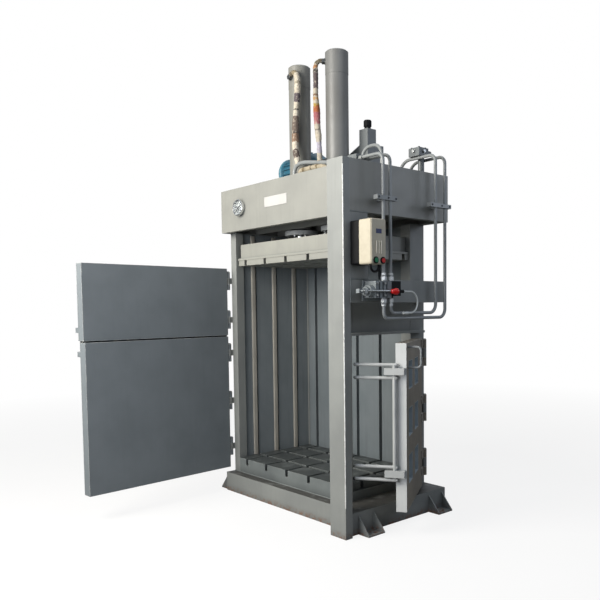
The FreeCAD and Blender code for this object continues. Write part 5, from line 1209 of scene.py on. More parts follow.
@dataclass
class WrappedHoses:
    """Header pipe on the deck, the two taped hoses from it up to the caps and the taped return below it."""

    tape_width: float = 0.034
    tape_step: float = 0.0018
    lump: float = 0.007
    sides: int = 22
    header_sides: int = 20
    header_radius: float = 0.0165
    header_route: tuple = ((0.322, -0.142, 2.600), (0.318, -0.142, 2.660), (0.275, -0.142, 2.705),
                           (0.131, -0.142, 2.738), (-0.033, -0.142, 2.766), (-0.122, -0.142, 2.780),
                           (-0.195, -0.142, 2.779), (-0.240, -0.142, 2.760), (-0.262, -0.142, 2.715),
                           (-0.266, -0.142, 2.600))
    left: HoseLine = HoseLine("left", (
        (-0.300, -0.135, 3.520, 0.0180), (-0.279, -0.134, 3.532, 0.0190), (-0.256, -0.124, 3.528, 0.0220),
        (-0.244, -0.114, 3.490, 0.0235), (-0.243, -0.112, 3.395, 0.0265), (-0.246, -0.115, 3.331, 0.0240),
        (-0.250, -0.119, 3.274, 0.0210), (-0.255, -0.124, 3.185, 0.0225), (-0.258, -0.128, 3.087, 0.0280),
        (-0.259, -0.130, 2.989, 0.0275), (-0.252, -0.134, 2.924, 0.0250), (-0.238, -0.140, 2.870, 0.0250),
        (-0.222, -0.142, 2.820, 0.0230), (-0.216, -0.142, 2.782, 0.0170)),
        TapeWrap("taped hose, cream and brown", "#cdc6b6",
                 (Patch(0.000, 0.030, "#4d4434"), Patch(0.030, 0.062, "#86795f"),
                  Patch(0.125, 0.145, "#8d8672"), Patch(0.225, 0.290, "#473d49"),
                  Patch(0.345, 0.357, "#3a3a3c"), Patch(0.405, 0.530, "#5f5149"),
                  Patch(0.530, 0.548, "#3c322f"), Patch(0.548, 0.620, "#80644f"),
                  Patch(0.690, 0.760, "#4a3c38"))))
    right: HoseLine = HoseLine("right", (
        (0.067, -0.086, 3.545, 0.0150), (0.050, -0.106, 3.549, 0.0155), (0.032, -0.127, 3.538, 0.0165),
        (0.022, -0.138, 3.510, 0.0180), (0.021, -0.140, 3.478, 0.0195), (0.022, -0.138, 3.401, 0.0190),
        (0.020, -0.140, 3.308, 0.0190), (0.022, -0.139, 3.245, 0.0215), (0.025, -0.135, 3.167, 0.0265),
        (0.027, -0.133, 3.081, 0.0250), (0.031, -0.132, 3.011, 0.0235), (0.042, -0.134, 2.956, 0.0235),
        (0.050, -0.136, 2.893, 0.0180), (0.062, -0.142, 2.823, 0.0200), (0.064, -0.142, 2.760, 0.0200)),
        TapeWrap("taped hose, cream and orange", "#aea799",
                 (Patch(0.000, 0.075, "#5b523c"), Patch(0.080, 0.115, "#9a6a3e"),
                  Patch(0.120, 0.140, "#332d2b"), Patch(0.145, 0.265, "#45383f"),
                  Patch(0.310, 0.325, "#6f5038"), Patch(0.335, 0.355, "#a87c42"),
                  Patch(0.385, 0.455, "#a3862f"), Patch(0.405, 0.500, "#9c5232"),
                  Patch(0.455, 0.545, "#9a5a60"), Patch(0.590, 0.600, "#6d665f"),
                  Patch(0.690, 0.780, "#a3a0b0"))))
    low: HoseLine = HoseLine("low", (
        (-0.075, -0.215, 2.625, 0.0150), (-0.095, -0.218, 2.668, 0.0170), (-0.070, -0.220, 2.693, 0.0190),
        (0.022, -0.220, 2.698, 0.0190), (0.096, -0.220, 2.698, 0.0190), (0.160, -0.220, 2.692, 0.0190),
        (0.225, -0.210, 2.670, 0.0180), (0.250, -0.205, 2.620, 0.0160)),
        TapeWrap("taped hose, soiled cream", "#9a917c",
                 (Patch(0.000, 0.060, "#3f3626"), Patch(0.110, 0.140, "#6a5c42"),
                  Patch(0.210, 0.225, "#5c5140"), Patch(0.280, 0.300, "#6a5c42"))))

    def build(self) -> None:
        """Lay the header and wind the hoses, in place of the plain ones."""
        header = tube_recipe().grow("header_bent", lines_seed([self.header_route]), "frame", "frame_paint",
                                    TUBE_PAINT, Tube_radius=self.header_radius, Sides=self.header_sides)
        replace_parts(header, "header_pipe")
        for hose in (self.left, self.right, self.low):
            piece = wrap_recipe().grow(f"taped_hose_{hose.name}", girth_seed(hose.route), "frame",
                                       "wrapped_hose", hose.finish, Tape_width=self.tape_width,
                                       Tape_step=self.tape_step, Lump=self.lump, Sides=self.sides, Seed=SEED)
            if hose is not self.low:
                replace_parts(piece, f"cap_hose_{hose.name}")


# ---------------------------------------------------------------- doors
@dataclass
class SwungLeaf:
    """Upright leaf on a hinge line, with a way to place things by its own axes."""

    hinge: tuple[float, float]
    open_deg: float

    def spot(self, along: float, out: float, level: float) -> Vector:
        """Point of the leaf in the object's frame.

        Args:
            along: Distance from the hinge line along the leaf.
            out: Distance from the hinge plane, across the leaf.
            level: Height.

        Returns:
            The point.
        """
        turn = math.radians(self.open_deg)
        return Vector((self.hinge[0] + along * math.cos(turn) + out * math.sin(turn),
                       self.hinge[1] - along * math.sin(turn) + out * math.cos(turn), level))

    def strip(self, name: str, low: Sequence[float], high: Sequence[float]) -> bpy.types.Mesh:
        """Square-edged bar of the leaf between two corners.

        Args:
            name: Name of the mesh.
            low: Distances along and out, and the height, of one corner.
            high: The same of the corner across from it.

        Returns:
            The mesh.
        """
        corners = [self.spot(along, out, 0.0) for along, out in ((low[0], low[1]), (high[0], low[1]),
                                                                 (high[0], high[1]), (low[0], high[1]))]
        return prism(name, [(corner.x, corner.y) for corner in corners], low[2], high[2])


@dataclass
class FrontDoor:
    """One front door: its paint, the welds between its skin and its ribs, and the black strip under its foot
    that stands for the shade in the gap.
    """

    name: str
    body: str
    open_deg: float
    low: float
    height: float
    rows: int
    columns: int = 4
    hinge: tuple[float, float] = (-0.862, -0.424)
    gap: float = 0.021
    width: float = 1.300
    rib: float = 0.010
    skin_back: float = 0.009
    bead: float = 0.0035
    ripple: float = 0.012
    gap_shaded: bool = False
    gap_strip_in: float = 0.004
    gap_strip_back: float = -0.050
    gap_strip_front: float = 0.004
    gap_strip_drop: float = 0.0102
    gap_strip_sunk: float = 0.001

    def seams(self) -> list[list[Vector]]:
        """Weld line round the foot of each pocket between the ribs."""
        leaf = SwungLeaf(self.hinge, self.open_deg)
        wide = (self.width - self.rib) / self.columns
        tall = (self.height - self.rib) / self.rows
        lines = []
        for column in range(self.columns):
            for row in range(self.rows):
                x0 = self.gap + self.rib + column * wide
                z0 = self.low + self.rib + row * tall
                x1, z1 = x0 + wide - self.rib, z0 + tall - self.rib
                lines.append([leaf.spot(x, self.skin_back, z)
                              for x, z in ((x0, z0), (x1, z0), (x1, z1), (x0, z1), (x0, z0))])
        return lines

    def foot_seal(self) -> None:
        """Black strip under the door's foot, in the gap to the door below: a dark sheet as painted shade in
        the gap.
        """
        near, far = self.gap + self.gap_strip_in, self.gap + self.width - self.gap_strip_in
        strip = SwungLeaf(self.hinge, self.open_deg).strip(
            f"{self.name}_seal", (near, self.gap_strip_back, self.low - self.gap_strip_drop),
            (far, self.gap_strip_front, self.low + self.gap_strip_sunk))
        # The strip is black nylon, standing for the shade in the gap.
        stand(f"{self.name}_seal", strip, self.body, BLACK_PLASTIC)

    def build(self) -> None:
        """Dress the door and lay its welds."""
        dress((self.name,), DOOR_PAINT)
        if self.gap_shaded:
            self.foot_seal()
        weld(f"{self.name}_welds", self.seams(), self.body, self.bead, self.ripple)


@dataclass
class SideDoor:
    """Side door with its lugs, handle and turning latch, and the sleeves of its windows."""

    hinge: tuple[float, float] = (0.698, 0.378)
    open_deg: float = 57.0
    outer: float = -0.015
    inner: float = -0.084
    rows: int = 3
    columns: int = 2
    first: float = 0.235
    pitch: float = 0.277
    window: tuple[float, float] = (0.165, 0.200)
    low: float = 0.357
    step: float = 0.333
    sleeve: float = 0.0025
    inset: float = 0.0004
    end: float = 0.774
    skin: float = 0.0012
    edge_sunk: float = 0.0005
    back: float = -0.090
    edge_span: tuple[float, float] = (0.1805, 1.3495)

    def sleeve_mesh(self) -> bpy.types.Mesh:
        """Thin folded sleeve inside each window, open to both sides."""
        leaf = SwungLeaf(self.hinge, self.open_deg)
        shape = bmesh.new()
        for row in range(self.rows):
            for column in range(self.columns):
                x0 = self.first + column * self.pitch + self.inset
                z0 = self.low + row * self.step + self.inset
                x1 = x0 + self.window[0] - 2 * self.inset
                z1 = z0 + self.window[1] - 2 * self.inset
                # Rings of corners at the front outside and inside, then at the back inside and outside.
                rings = [[shape.verts.new(leaf.spot(x, out, z))
                          for x, z in ((x0 + wall, z0 + wall), (x1 - wall, z0 + wall),
                                       (x1 - wall, z1 - wall), (x0 + wall, z1 - wall))]
                         for out, wall in ((self.outer, 0.0), (self.outer, self.sleeve),
                                           (self.inner, self.sleeve), (self.inner, 0.0))]
                for one, two in zip(rings, rings[1:] + rings[:1]):
                    for place in range(4):
                        after = (place + 1) % 4
                        shape.faces.new((one[place], one[after], two[after], two[place]))
        return from_bmesh("window_sleeves", shape)

    def build(self) -> None:
        """Dress the door, its lugs and its latch, line its windows and edge it with a pale strip that is a
        painted highlight.
        """
        dress(("side_door",), SIDE_DOOR_PAINT)
        dress(("latch_lugs", "side_latch"), LIT_LUG_PAINT)
        dress(("side_handle",), TUBE_PAINT)
        stand("window_sleeves", self.sleeve_mesh(), "side_door_leaf", SLEEVE_PAINT)
        # Pale strip on the free edge: a painted highlight.
        lit_edge = SwungLeaf(self.hinge, self.open_deg).strip(
            "door_edge_highlight", (self.end - self.edge_sunk, self.outer, self.edge_span[0]),
            (self.end + self.skin, self.back, self.edge_span[1]))
        stand("door_edge_highlight", lit_edge, "side_door_leaf", EDGE_HIGHLIGHT_PAINT)


# ---------------------------------------------------------------- controls
@dataclass
class ButtonBox:
    """Push button box on the side gusset: back half, cover, bezels, moulded bars, bare tag and cable."""

    front: float = 1.050
    left: float = -0.5535
    right: float = -0.4095
    high: float = 2.180
    button_level: float = 1.906
    button_places: tuple[float, float] = (-0.5105, -0.4445)
    bezel_bore: float = 0.0156
    bezel_radius: float = 0.0235
    bezel_proud: float = 0.0065
    bezel_sunk: float = 0.001
    bezel_ease: float = 0.002
    bezel_lip: float = 0.001
    bezel_mouth: float = 0.0165
    bar_places: tuple[float, ...] = (-0.504, -0.4815, -0.459)
    bar_level: float = 1.992
    bar_length: float = 0.088
    bar_width: float = 0.009
    bar_thick: float = 0.006
    tag_low: tuple[float, float] = (-0.507, 2.082)
    tag_high: tuple[float, float] = (-0.455, 2.112)
    tag_proud: float = 0.0015
    tag_sunk: float = 0.001
    tag_ease: float = 0.001
    cable: tuple = ((1.010, -0.520, 1.886), (1.010, -0.519, 1.862), (1.010, -0.508, 1.842),
                    (1.010, -0.482, 1.833), (1.010, -0.456, 1.842), (1.010, -0.445, 1.862),
                    (1.010, -0.444, 1.886))
    cable_radius: float = 0.0075
    cable_sides: int = 14
    screw_x: float = 0.997
    screw_in: float = 0.025
    screw_sunk: float = 0.0005
    screw: Bolt = Bolt(0.004, 0.003, 0.0055, 0.001)

    def bezels(self) -> None:
        """Black bezel round each button."""
        bore, rim, top, ease = self.bezel_bore, self.bezel_radius, self.bezel_proud, self.bezel_ease
        foot = -self.bezel_sunk
        outline = [(bore, foot), (rim, foot), (rim, top - ease), (rim - ease, top), (self.bezel_mouth, top),
                   (bore, top - self.bezel_lip), (bore, foot)]
        for tone, place in zip(("green", "red"), self.button_places):
            bezel = lathe(f"{tone}_bezel", outline, (self.front, place, self.button_level), RIGHT)
            stand(f"{tone}_bezel", bezel, "frame", BLACK_PLASTIC)

    def build(self) -> None:
        """Dress the box and add its small parts."""
        dress(("control_box_back", "control_cable"), BLACK_PLASTIC)
        dress(("control_box_cover",), CREAM_PLASTIC)
        dress(("green_button",), GREEN_PLASTIC)
        dress(("red_button",), RED_PLASTIC)
        # The raised bars are lighter than the cover as painted highlight.
        bars = [((self.front, place, self.bar_level), UP) for place in self.bar_places]
        slat_recipe().grow("box_bars", spots_seed(bars), "frame", "cream_plastic", LIT_BAR_PLASTIC,
                           Length=self.bar_length, Width=self.bar_width, Thickness=self.bar_thick)
        tag = eased_box("box_tag", (self.front - self.tag_sunk, *self.tag_low),
                        (self.front + self.tag_proud, *self.tag_high), self.tag_ease)
        stand("box_tag", tag, "frame", TAG_PLASTIC)
        loop = tube_recipe().grow("cable_loop", lines_seed([self.cable]), "frame", "black_plastic",
                                  BLACK_PLASTIC, Tube_radius=self.cable_radius, Sides=self.cable_sides)
        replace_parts(loop, "control_cable")
        self.bezels()
        self.screw.fix("box_screws", [((self.screw_x, place, self.high - self.screw_sunk), UP)
                                      for place in (self.left + self.screw_in, self.right - self.screw_in)])


@dataclass
class HandValve:
    """Hand valve with its end block, lever, bolts and unions."""

    tube_x: float = 0.930
    places: tuple[float, float] = (-0.315, -0.246)
    front: float = 0.968
    low: float = 1.660
    high: float = 1.774
    left: float = -0.430
    right: float = -0.276
    bolt: Bolt = Bolt(0.0085, 0.008, 0.010, 0.0015)
    bolt_in: float = 0.014
    bolt_short: float = 0.065
    bolt_rise: float = 0.016
    nut: Bolt = Bolt(0.0222, 0.028, 0.0222 * 0.88, 0.004)
    nut_rise: float = 0.004
    collar: Bolt = Bolt(0.0180, 0.018, 0.0180 * 0.88, 0.004)
    collar_rise: float = 0.037
    knob_drop: float = 0.002
    knob_out: float = 0.0045
    # Radius of the knob at each share of its length.
    knob_outline: tuple = ((0.0, 0.0), (0.011, 0.0), (0.0140, 0.06), (0.0165, 0.20), (0.0190, 0.36),
                           (0.0202, 0.46), (0.0232, 0.60), (0.0240, 0.72), (0.0222, 0.86), (0.0165, 0.96),
                           (0.008, 1.0), (0.0, 1.0))

    def knob(self) -> None:
        """Fuller pear-shaped knob on the end of the lever."""
        low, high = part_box("lever_knob")
        middle = (low + high) / 2
        mesh = lathe("knob_full", [(radius, share * (high.y - low.y)) for radius, share in self.knob_outline],
                     (middle.x + self.knob_out, low.y, middle.z - self.knob_drop), REAR, smooth=True)
        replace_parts(stand("knob_full", mesh, "lever", KNOB_PLASTIC), "lever_knob")

    def build(self) -> None:
        """Dress the valve and add its bolts and unions."""
        dress(("valve_body",), VALVE_PAINT)
        dress(("valve_end",), BLACK_PLASTIC)
        dress(("valve_lever",), CHROME)
        dress(("lever_knob",), KNOB_PLASTIC)
        self.knob()
        self.bolt.fix("valve_bolts", [((self.front, y, z), RIGHT)
                                      for y in (self.left + self.bolt_in, self.right - self.bolt_short)
                                      for z in (self.low + self.bolt_rise, self.high - self.bolt_rise)])
        for name, union, rise in (("nuts", self.nut, self.nut_rise),
                                  ("collars", self.collar, self.collar_rise)):
            spots = [((self.tube_x, y, z), way) for y in self.places
                     for z, way in ((self.high + rise, UP), (self.low - rise, DOWN))]
            union.fix(f"union_{name}", spots, ZINC, seed=SEED + 3)


@dataclass
class PipeWork:
    """Steel tubes, clamps, return arch, and the deck block and relief valve."""

    relief_low: tuple[float, float] = (0.690, 0.212)
    relief_high: tuple[float, float] = (0.796, 0.318)
    relief_top: float = 2.795
    screw: Bolt = Bolt(0.0085, 0.007, 0.0095, 0.001)
    screw_in: float = 0.017
    plug: Bolt = Bolt(0.0145, 0.010, 0.0165, 0.002)
    plug_drop: float = 0.026
    clamp_bolt: Bolt = Bolt(0.0065, 0.004, 0.0075, 0.001)
    clamp_front: float = 0.949
    clamp_level: float = 2.346
    clamp_spots: tuple[float, ...] = (-0.372, -0.280, -0.205, 0.184, 0.294, 0.385)

    def build(self) -> None:
        """Dress the pipes and add the clamps' bolts and the relief valve's screws and plugs."""
        dress(("tube_1", "tube_2", "tube_3", "tube_4", "tube_clamps", "header_pipe", "return_arch"),
              TUBE_PAINT)
        dress(("deck_block", "relief_valve"), RELIEF_PAINT)
        dress(("pilot_hose",), HOSE_PLASTIC)
        (x0, y0), (x1, y1), top = self.relief_low, self.relief_high, self.relief_top
        self.screw.fix("relief_screws", [((x, y, top), UP) for x in (x0 + self.screw_in, x1 - self.screw_in)
                                         for y in (y0 + self.screw_in, y1 - self.screw_in)], CLAMP_SCREW)
        level = top - self.plug_drop
        self.plug.fix("relief_plugs",
                      [((x1, (y0 + y1) / 2, level), RIGHT), (((x0 + x1) / 2, y0, level), FRONT)])
        self.clamp_bolt.fix("clamp_bolts", [((self.clamp_front, y, self.clamp_level), RIGHT)
                                            for y in self.clamp_spots], CLAMP_SCREW)


# ---------------------------------------------------------------- power pack
@dataclass
class PowerPack:
    """Motor, fan cowl, pump and oil tank on the deck."""

    axis: tuple[float, float] = (0.218, 2.820)
    # Radius and height of the domed cowl from the motor's end outwards.
    cowl_outline: tuple = ((0.0, 0.0), (0.134, 0.0), (0.134, 0.020), (0.131, 0.034), (0.123, 0.049),
                           (0.109, 0.061), (0.088, 0.069), (0.060, 0.0735), (0.0, 0.075))
    cowl_steps: int = 56
    bands: tuple[float, ...] = (0.010, 0.022)
    band_ring: float = 0.1335
    band_radius: float = 0.0022
    band_sides: int = 8
    slot_count: int = 16
    slot_ring: float = 0.040
    slot_out: float = 0.073
    slot_length: float = 0.042
    slot_width: float = 0.007
    slot_thick: float = 0.002
    tank_low: tuple[float, float, float] = (-0.060, 0.150, 2.600)
    tank_high: tuple[float, float] = (0.310, 0.330)
    sight_x: float = 0.020
    sight_low: float = 2.640
    sight_high: float = 2.750
    sight_half: float = 0.011
    sight_proud: float = 0.016
    sight_sunk: float = 0.001
    sight_ease: float = 0.003
    sight_radius: float = 0.007
    sight_out: float = 0.008

    def cowl(self) -> None:
        """Domed fan cowl in place of the plain one, with its pale bands."""
        y, z = self.axis
        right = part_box("fan_cowl")[1].x
        mesh = lathe("cowl_dome", self.cowl_outline, (right, y, z), LEFT, self.cowl_steps, smooth=True)
        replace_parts(stand("cowl_dome", mesh, "frame", MOTOR_PAINT), "fan_cowl")
        turn = Matrix.Translation(Vector((right, y, z))) @ Matrix.Rotation(math.radians(-90.0), 4, "Y")
        lines = [[turn @ spot for spot in ring_line((0.0, 0.0, height), self.band_ring, self.cowl_steps)]
                 for height in self.bands]
        tube_recipe().grow("cowl_bands", lines_seed(lines), "frame", "motor_paint", BAND_PAINT,
                           Tube_radius=self.band_radius, Sides=self.band_sides)

    def cowl_slot_shade(self) -> None:
        """Black slats round the end of the fan cowl, a dark sheet standing for the shade inside its air
        slots.
        """
        y, z = self.axis
        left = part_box("fan_cowl")[1].x - self.slot_out
        ways = [(0.0, math.cos(angle), math.sin(angle))
                for angle in (math.tau * step / self.slot_count for step in range(self.slot_count))]
        spots = [((left, y + way[1] * self.slot_ring, z + way[2] * self.slot_ring), way) for way in ways]
        # The slats are black as painted shade in the slots.
        slat_recipe().grow("cowl_slot_shade", spots_seed(spots), "frame", "black_plastic", BLACK_PLASTIC,
                           Length=self.slot_length, Width=self.slot_width, Thickness=self.slot_thick)

    def sight_glass(self) -> None:
        """Oil level gauge on the front of the tank."""
        face, half = self.tank_low[1], self.sight_half
        for name, level in (("low", self.sight_low), ("high", self.sight_high)):
            end = eased_box(f"sight_end_{name}", (self.sight_x - half, face - self.sight_proud, level - half),
                            (self.sight_x + half, face + self.sight_sunk, level + half), self.sight_ease)
            stand(f"sight_end_{name}", end, "frame", BRIGHT_STEEL)
        tall = self.sight_high - self.sight_low - 2 * half
        tube = lathe("sight_tube",
                     [(0.0, 0.0), (self.sight_radius, 0.0), (self.sight_radius, tall), (0.0, tall)],
                     (self.sight_x, face - self.sight_out, self.sight_low + half), UP, 20)
        stand("sight_tube", tube, "frame", Pane())

    def build(self) -> None:
        """Dress the power pack and add its small parts."""
        dress(("motor", "fan_cowl"), MOTOR_PAINT)
        dress(("pump",), CAST_IRON)
        dress(("oil_tank",), TANK_PAINT)
        dress(("filler_cap",), BLACK_PLASTIC)
        self.cowl()
        self.cowl_slot_shade()
        self.sight_glass()
        weld("tank_welds", [frame_line(self.tank_low[:2], self.tank_high, self.tank_low[2])])


# ---------------------------------------------------------------- instruments
@dataclass
class PressureGauge:
    """Pressure gauge on the head: wide chrome ring, dial with ticks and plain numbers, glass and needle."""

    centre: tuple[float, float] = (-0.558, 2.432)
    face: float = -0.483
    dial: float = -0.503
    first_deg: float = 215.0
    sweep_deg: float = 250.0
    marks: int = 25
    long_every: int = 6
    numbers: tuple[int, ...] = (0, 10, 20, 30, 40)
    radius: float = 0.067
    steps: int = 64
    # Depths in from the ring's edge, and heights above the head's face.
    lip: float = 0.010
    crown_in: float = 0.007
    ease: float = 0.003
    waist_in: float = 0.006
    waist: float = 0.020
    flare: float = 0.022
    top: float = 0.034
    lip_drop: float = 0.004
    floor: float = 0.014
    pane_in: float = 0.0105
    dial_heights: tuple[float, float] = (0.0145, 0.0200)
    glass_heights: tuple[float, float] = (0.0285, 0.0305)
    # Length and width of the ticks, and the radius at which they stand.
    short_tick: tuple[float, float] = (0.0065, 0.0014)
    long_tick: tuple[float, float] = (0.0105, 0.0024)
    tick_thick: float = 0.0008
    tick_radius: float = 0.0495
    number_radius: float = 0.0345
    letter: float = 0.0120
    letter_proud: float = 0.0002
    # Half of the needle's outline, as half width and distance from the centre towards the tip.
    needle_half: tuple = ((0.0009, 0.046), (0.0024, 0.0), (0.0034, -0.014))
    needle_rise: float = 0.0035
    needle_thick: float = 0.0012
    hub_outline: tuple = ((0.0, 0.0), (0.0060, 0.0), (0.0060, 0.003), (0.0035, 0.0045), (0.0, 0.0045))
    hub_sunk: float = 0.0008

    def around(self, share: float, radius: float) -> tuple[Vector, Vector]:
        """Point on the dial and its direction from the centre.

        Args:
            share: Share of the sweep, clockwise from the first mark.
            radius: Distance from the centre.

        Returns:
            The point and the direction.
        """
        angle = math.radians(self.first_deg - share * self.sweep_deg)
        way = Vector((math.cos(angle), 0.0, math.sin(angle)))
        return Vector((self.centre[0], self.dial, self.centre[1])) + way * radius, way

    def turned(self, name: str, profile: Sequence[tuple[float, float]], finish: object, slot: str,
               node: str) -> None:
        """Turned part of the gauge in place of a CAD node.

        Args:
            name: Name of the piece.
            profile: Radius and height above the head's face.
            finish: Finish of the piece.
            slot: Not used.
            node: CAD node that it replaces.
        """
        mesh = lathe(name, profile, (self.centre[0], self.face, self.centre[1]), FRONT, self.steps)
        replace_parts(stand(name, mesh, "frame", finish), node)

    def case(self) -> None:
        """Chromed ring, dial and glass."""
        rim, top = self.radius, self.top
        waist, lip, pane = rim - self.waist_in, rim - self.lip, rim - self.pane_in
        self.turned("gauge_ring", [(0.0, 0.0), (waist, 0.0), (waist, self.waist), (rim, self.flare),
                                   (rim, top - self.ease), (rim - self.ease, top), (rim - self.crown_in, top),
                                   (lip, top - self.lip_drop), (lip, self.floor), (0.0, self.floor)],
                    RING_CHROME, "chrome", "gauge_case")
        for name, (low, high), finish, slot, node in (
                ("gauge_face", self.dial_heights, DialFace(), "dial_white", "gauge_dial"),
                ("gauge_glass", self.glass_heights, Pane(), "window_glass", "gauge_window")):
            self.turned(name, [(0.0, low), (pane, low), (pane, high), (0.0, high)], finish, slot, node)

    def needle(self) -> None:
        """Needle with its hub and tail, a little below the dial's first mark."""
        points = [*self.needle_half, *((-half, along) for half, along in reversed(self.needle_half))]
        turn = Matrix.Rotation(-math.radians(self.first_deg - 90.0), 3, "Y")
        origin = Vector((self.centre[0], self.dial - self.needle_rise, self.centre[1]))
        shape = bmesh.new()
        blade = shape.faces.new([shape.verts.new(origin + turn @ Vector((x, 0.0, z))) for x, z in points])
        risen = bmesh.ops.extrude_face_region(shape, geom=[blade])
        bmesh.ops.translate(shape, vec=(0.0, -self.needle_thick, 0.0),
                            verts=[part for part in risen["geom"] if isinstance(part, bmesh.types.BMVert)])
        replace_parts(stand("needle_blade", from_bmesh("needle_blade", shape), "needle",
                          NEEDLE_INK),
                    "gauge_needle")
        hub = lathe("needle_hub", self.hub_outline, origin - Vector(FRONT) * self.hub_sunk, FRONT, 32)
        stand("needle_hub", hub, "needle", NEEDLE_INK)

    def ticks(self) -> None:
        """Short and long marks round the dial."""
        spots = [self.around(mark / (self.marks - 1), self.tick_radius) for mark in range(self.marks)]
        long = spots[::self.long_every]
        short = [spot for mark, spot in enumerate(spots) if mark % self.long_every]
        for name, places, (length, width) in (("dial_ticks", short, self.short_tick),
                                              ("dial_marks", long, self.long_tick)):
            slat_recipe().grow(name, spots_seed(places), "frame", "black_plastic", DIAL_INK, Length=length,
                               Width=width, Thickness=self.tick_thick)

    def build(self) -> None:
        """Turn the gauge and mark its dial."""
        self.case()
        self.needle()
        self.ticks()
        self.write_numbers()

    def write_numbers(self) -> None:
        """Plain numbers inside the long marks, as one flat mesh."""
        shape = bmesh.new()
        for place, number in enumerate(self.numbers):
            curve = bpy.data.curves.new(f"number_{number}", "FONT")
            curve.body = str(number)
            curve.size = self.letter
            curve.align_x, curve.align_y = "CENTER", "CENTER"
            curve.extrude = self.letter_proud
            holder = bpy.data.objects.new(curve.name, curve)
            bpy.context.scene.collection.objects.link(holder)
            graph = bpy.context.evaluated_depsgraph_get()
            mesh = bpy.data.meshes.new_from_object(holder.evaluated_get(graph), depsgraph=graph)
            bpy.data.objects.remove(holder)
            spot, _ = self.around(place / (len(self.numbers) - 1), self.number_radius)
            mesh.transform(Matrix.Translation(spot) @ Matrix.Rotation(math.radians(90.0), 4, "X"))
            shape.from_mesh(mesh)
            bpy.data.meshes.remove(mesh)
        mesh = bpy.data.meshes.new("dial_numbers")
        shape.to_mesh(mesh)
        shape.free()
        stand("dial_numbers", mesh, "frame", DIAL_INK)


@dataclass
class NamePlate:
    """Bare plate on the head."""

    def build(self) -> None:
        """Dress the plate."""
        dress(("name_plate",), PLATE_PAINT)


# ---------------------------------------------------------------- studio
class LampKind(Enum):
    """What a lamp is for."""

    KEY = "key"
    LOW = "low"
    FILL = "fill"
    REAR = "rear"
    TOP = "top"


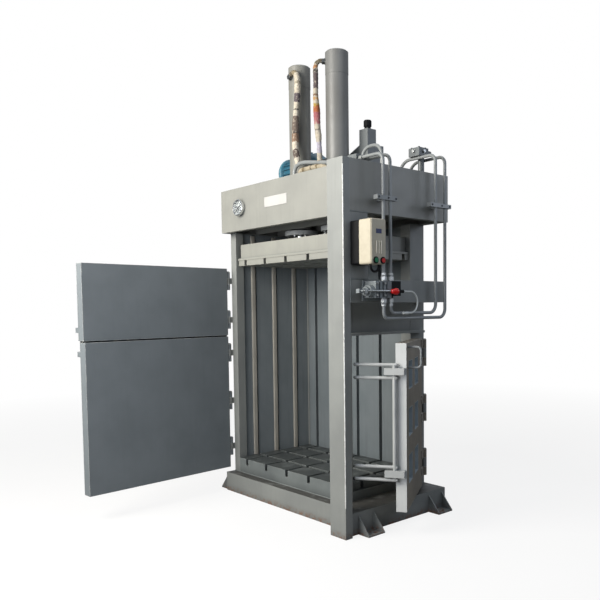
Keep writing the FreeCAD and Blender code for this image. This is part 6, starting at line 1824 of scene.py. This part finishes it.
@dataclass
class Studio:
    """Pale floor, soft lamps, white surroundings and the camera."""

    floor_size: float = 60.0
    floor_tone: str = "#f4f4f2"
    floor_patch: str = "#eeeeec"
    floor_mm: float = 900.0
    eye: tuple[float, float, float] = (4.20323, -3.68137, 1.59097)
    yaw: float = 0.83235982
    pitch: float = 0.06177473
    roll: float = -0.00973967
    lens: float = 40.499
    sensor: float = 36.0
    shift: tuple[float, float] = (-0.0715, 0.0834)
    fill_light: float = 0.12
    gloss_light: float = 0.45
    floor_glow: float = 0.84
    glow_near: float = 2.5
    glow_far: float = 9.0
    bounce: str = "#7c7c7a"
    # Place, aim, size, power and tone of each lamp.
    lamps: dict = field(default_factory=lambda: {
        LampKind.KEY: ((-0.4, -4.0, 3.4), (0.1, -0.4, 2.2), 2.8, 275.0, "#fffaf2"),
        LampKind.LOW: ((1.4, -4.5, 1.8), (-0.3, 0.0, 1.9), 2.4, 70.0, "#f6f8ff"),
        LampKind.FILL: ((4.6, -0.6, 4.2), (0.3, 0.0, 1.6), 4.0, 48.0, "#dfeaff"),
        LampKind.REAR: ((3.2, 3.7, 3.4), (0.6, 0.0, 2.2), 1.6, 22.0, "#e6eeff"),
        LampKind.TOP: ((0.2, 1.0, 6.5), (0.0, 0.0, 2.0), 4.0, 50.0, "#ffffff"),
    })

    def floor(self) -> None:
        """Pale floor that is white to the camera and keeps a soft shadow."""
        shape = bmesh.new()
        bmesh.ops.create_grid(shape, x_segments=1, y_segments=1, size=self.floor_size / 2)
        mesh = from_bmesh("floor", shape)
        piece = bpy.data.objects.new("floor", mesh)
        bpy.context.scene.collection.objects.link(piece)
        coat = Coat("pale studio floor", self.floor_tone)
        seen = add_node(coat.tree, "ShaderNodeLightPath").outputs["Is Camera Ray"]
        coat.layer(self.floor_patch, coat.clouds(self.floor_mm, 0.3, 0.7))
        tint = add_node(coat.tree, "ShaderNodeMix", {0: seen, 6: linear(self.bounce), 7: coat.tint},
                        data_type="RGBA").outputs[2]
        matt = add_node(coat.tree, "ShaderNodeBsdfDiffuse", {"Color": tint})
        glow = add_node(coat.tree, "ShaderNodeEmission", {"Color": linear("#ffffff"), "Strength": 1.0})
        away = add_node(coat.tree, "ShaderNodeVectorMath", {0: coat.place},
                        operation="LENGTH").outputs["Value"]
        share = add_node(coat.tree, "ShaderNodeMapRange",
                         {"Value": away, "From Min": self.glow_near, "From Max": self.glow_far,
                          "To Min": self.floor_glow, "To Max": 1.0}).outputs["Result"]
        shown = add_node(coat.tree, "ShaderNodeMath", {0: seen, 1: share}, operation="MULTIPLY")
        both = add_node(coat.tree, "ShaderNodeMixShader",
                        {0: shown.outputs["Value"], 1: matt.outputs["BSDF"], 2: glow.outputs["Emission"]})
        add_node(coat.tree, "ShaderNodeOutputMaterial", {"Surface": both.outputs["Shader"]})
        mesh.materials.append(coat.material)

    def surroundings(self) -> None:
        """White to the camera and through glass, and a plain soft light to everything else."""
        world = bpy.data.worlds.new("studio")
        bpy.context.scene.world = world
        world.use_nodes = True
        tree = world.node_tree
        tree.nodes.clear()
        sight = add_node(tree, "ShaderNodeLightPath")
        seen = add_node(tree, "ShaderNodeMath",
                        {0: sight.outputs["Is Camera Ray"], 1: sight.outputs["Is Transmission Ray"]},
                        operation="MAXIMUM")
        level = add_node(tree, "ShaderNodeMix", {0: sight.outputs["Is Glossy Ray"], 2: self.fill_light,
                                                 3: self.gloss_light}, data_type="FLOAT")
        soft = add_node(tree, "ShaderNodeBackground",
                        {"Color": linear("#eef3fa"), "Strength": level.outputs[0]})
        white = add_node(tree, "ShaderNodeBackground", {"Color": linear("#ffffff"), "Strength": 1.0})
        both = add_node(tree, "ShaderNodeMixShader", {0: seen.outputs["Value"], 1: soft.outputs["Background"],
                                                      2: white.outputs["Background"]})
        add_node(tree, "ShaderNodeOutputWorld", {"Surface": both.outputs["Shader"]})

    def light(self) -> None:
        """Hang the soft lamps."""
        for kind, (place, aim, size, power, tone) in self.lamps.items():
            lamp = bpy.data.lights.new(f"lamp_{kind.value}", "AREA")
            lamp.shape = "DISK"
            lamp.size = size
            lamp.energy = power
            lamp.color = linear(tone)[:3]
            holder = bpy.data.objects.new(lamp.name, lamp)
            holder.location = place
            holder.visible_camera = False
            holder.rotation_euler = (Vector(aim) - Vector(place)).to_track_quat("-Z", "Y").to_euler()
            bpy.context.scene.collection.objects.link(holder)

    def camera(self) -> None:
        """Camera at the place and angle that the perspective of the frame's edges gives."""
        data = bpy.data.cameras.new("camera")
        data.sensor_width = self.sensor
        data.lens = self.lens
        data.shift_x, data.shift_y = self.shift
        ahead = Vector((-math.sin(self.yaw) * math.cos(self.pitch), math.cos(self.yaw) * math.cos(self.pitch),
                        -math.sin(self.pitch)))
        level = Vector((math.cos(self.yaw), math.sin(self.yaw), 0.0))
        upright = level.cross(ahead)
        across = level * math.cos(self.roll) + upright * math.sin(self.roll)
        upward = upright * math.cos(self.roll) - level * math.sin(self.roll)
        turn = Matrix((across, upward, -ahead)).transposed()
        holder = bpy.data.objects.new("camera", data)
        holder.matrix_world = Matrix.Translation(Vector(self.eye)) @ turn.to_4x4()
        bpy.context.scene.collection.objects.link(holder)
        bpy.context.scene.camera = holder

    def build(self) -> None:
        """Set up the whole studio."""
        bpy.context.scene.view_settings.view_transform = "Standard"
        self.floor()
        self.surroundings()
        self.light()
        self.camera()


def main() -> None:
    """Build the sub-assemblies in order and report each."""
    logging.basicConfig(level=logging.INFO, format="%(name)s: %(message)s")
    parts = (
        Studio(),
        PressFrame(),
        RamPair(),
        WrappedHoses(),
        FrontDoor("upper_door", "upper_door_leaf", 87.0, 1.365, 0.580, 2, gap_shaded=True),
        FrontDoor("lower_door", "lower_door_leaf", 86.0, 0.200, 1.154, 4),
        SideDoor(),
        ButtonBox(),
        HandValve(),
        PipeWork(),
        PowerPack(),
        PressureGauge(),
        NamePlate(),
    )
    for part in parts:
        part.build()
        LOG.info("%s done", type(part).__name__)


if __name__ == "__main__":
    main()
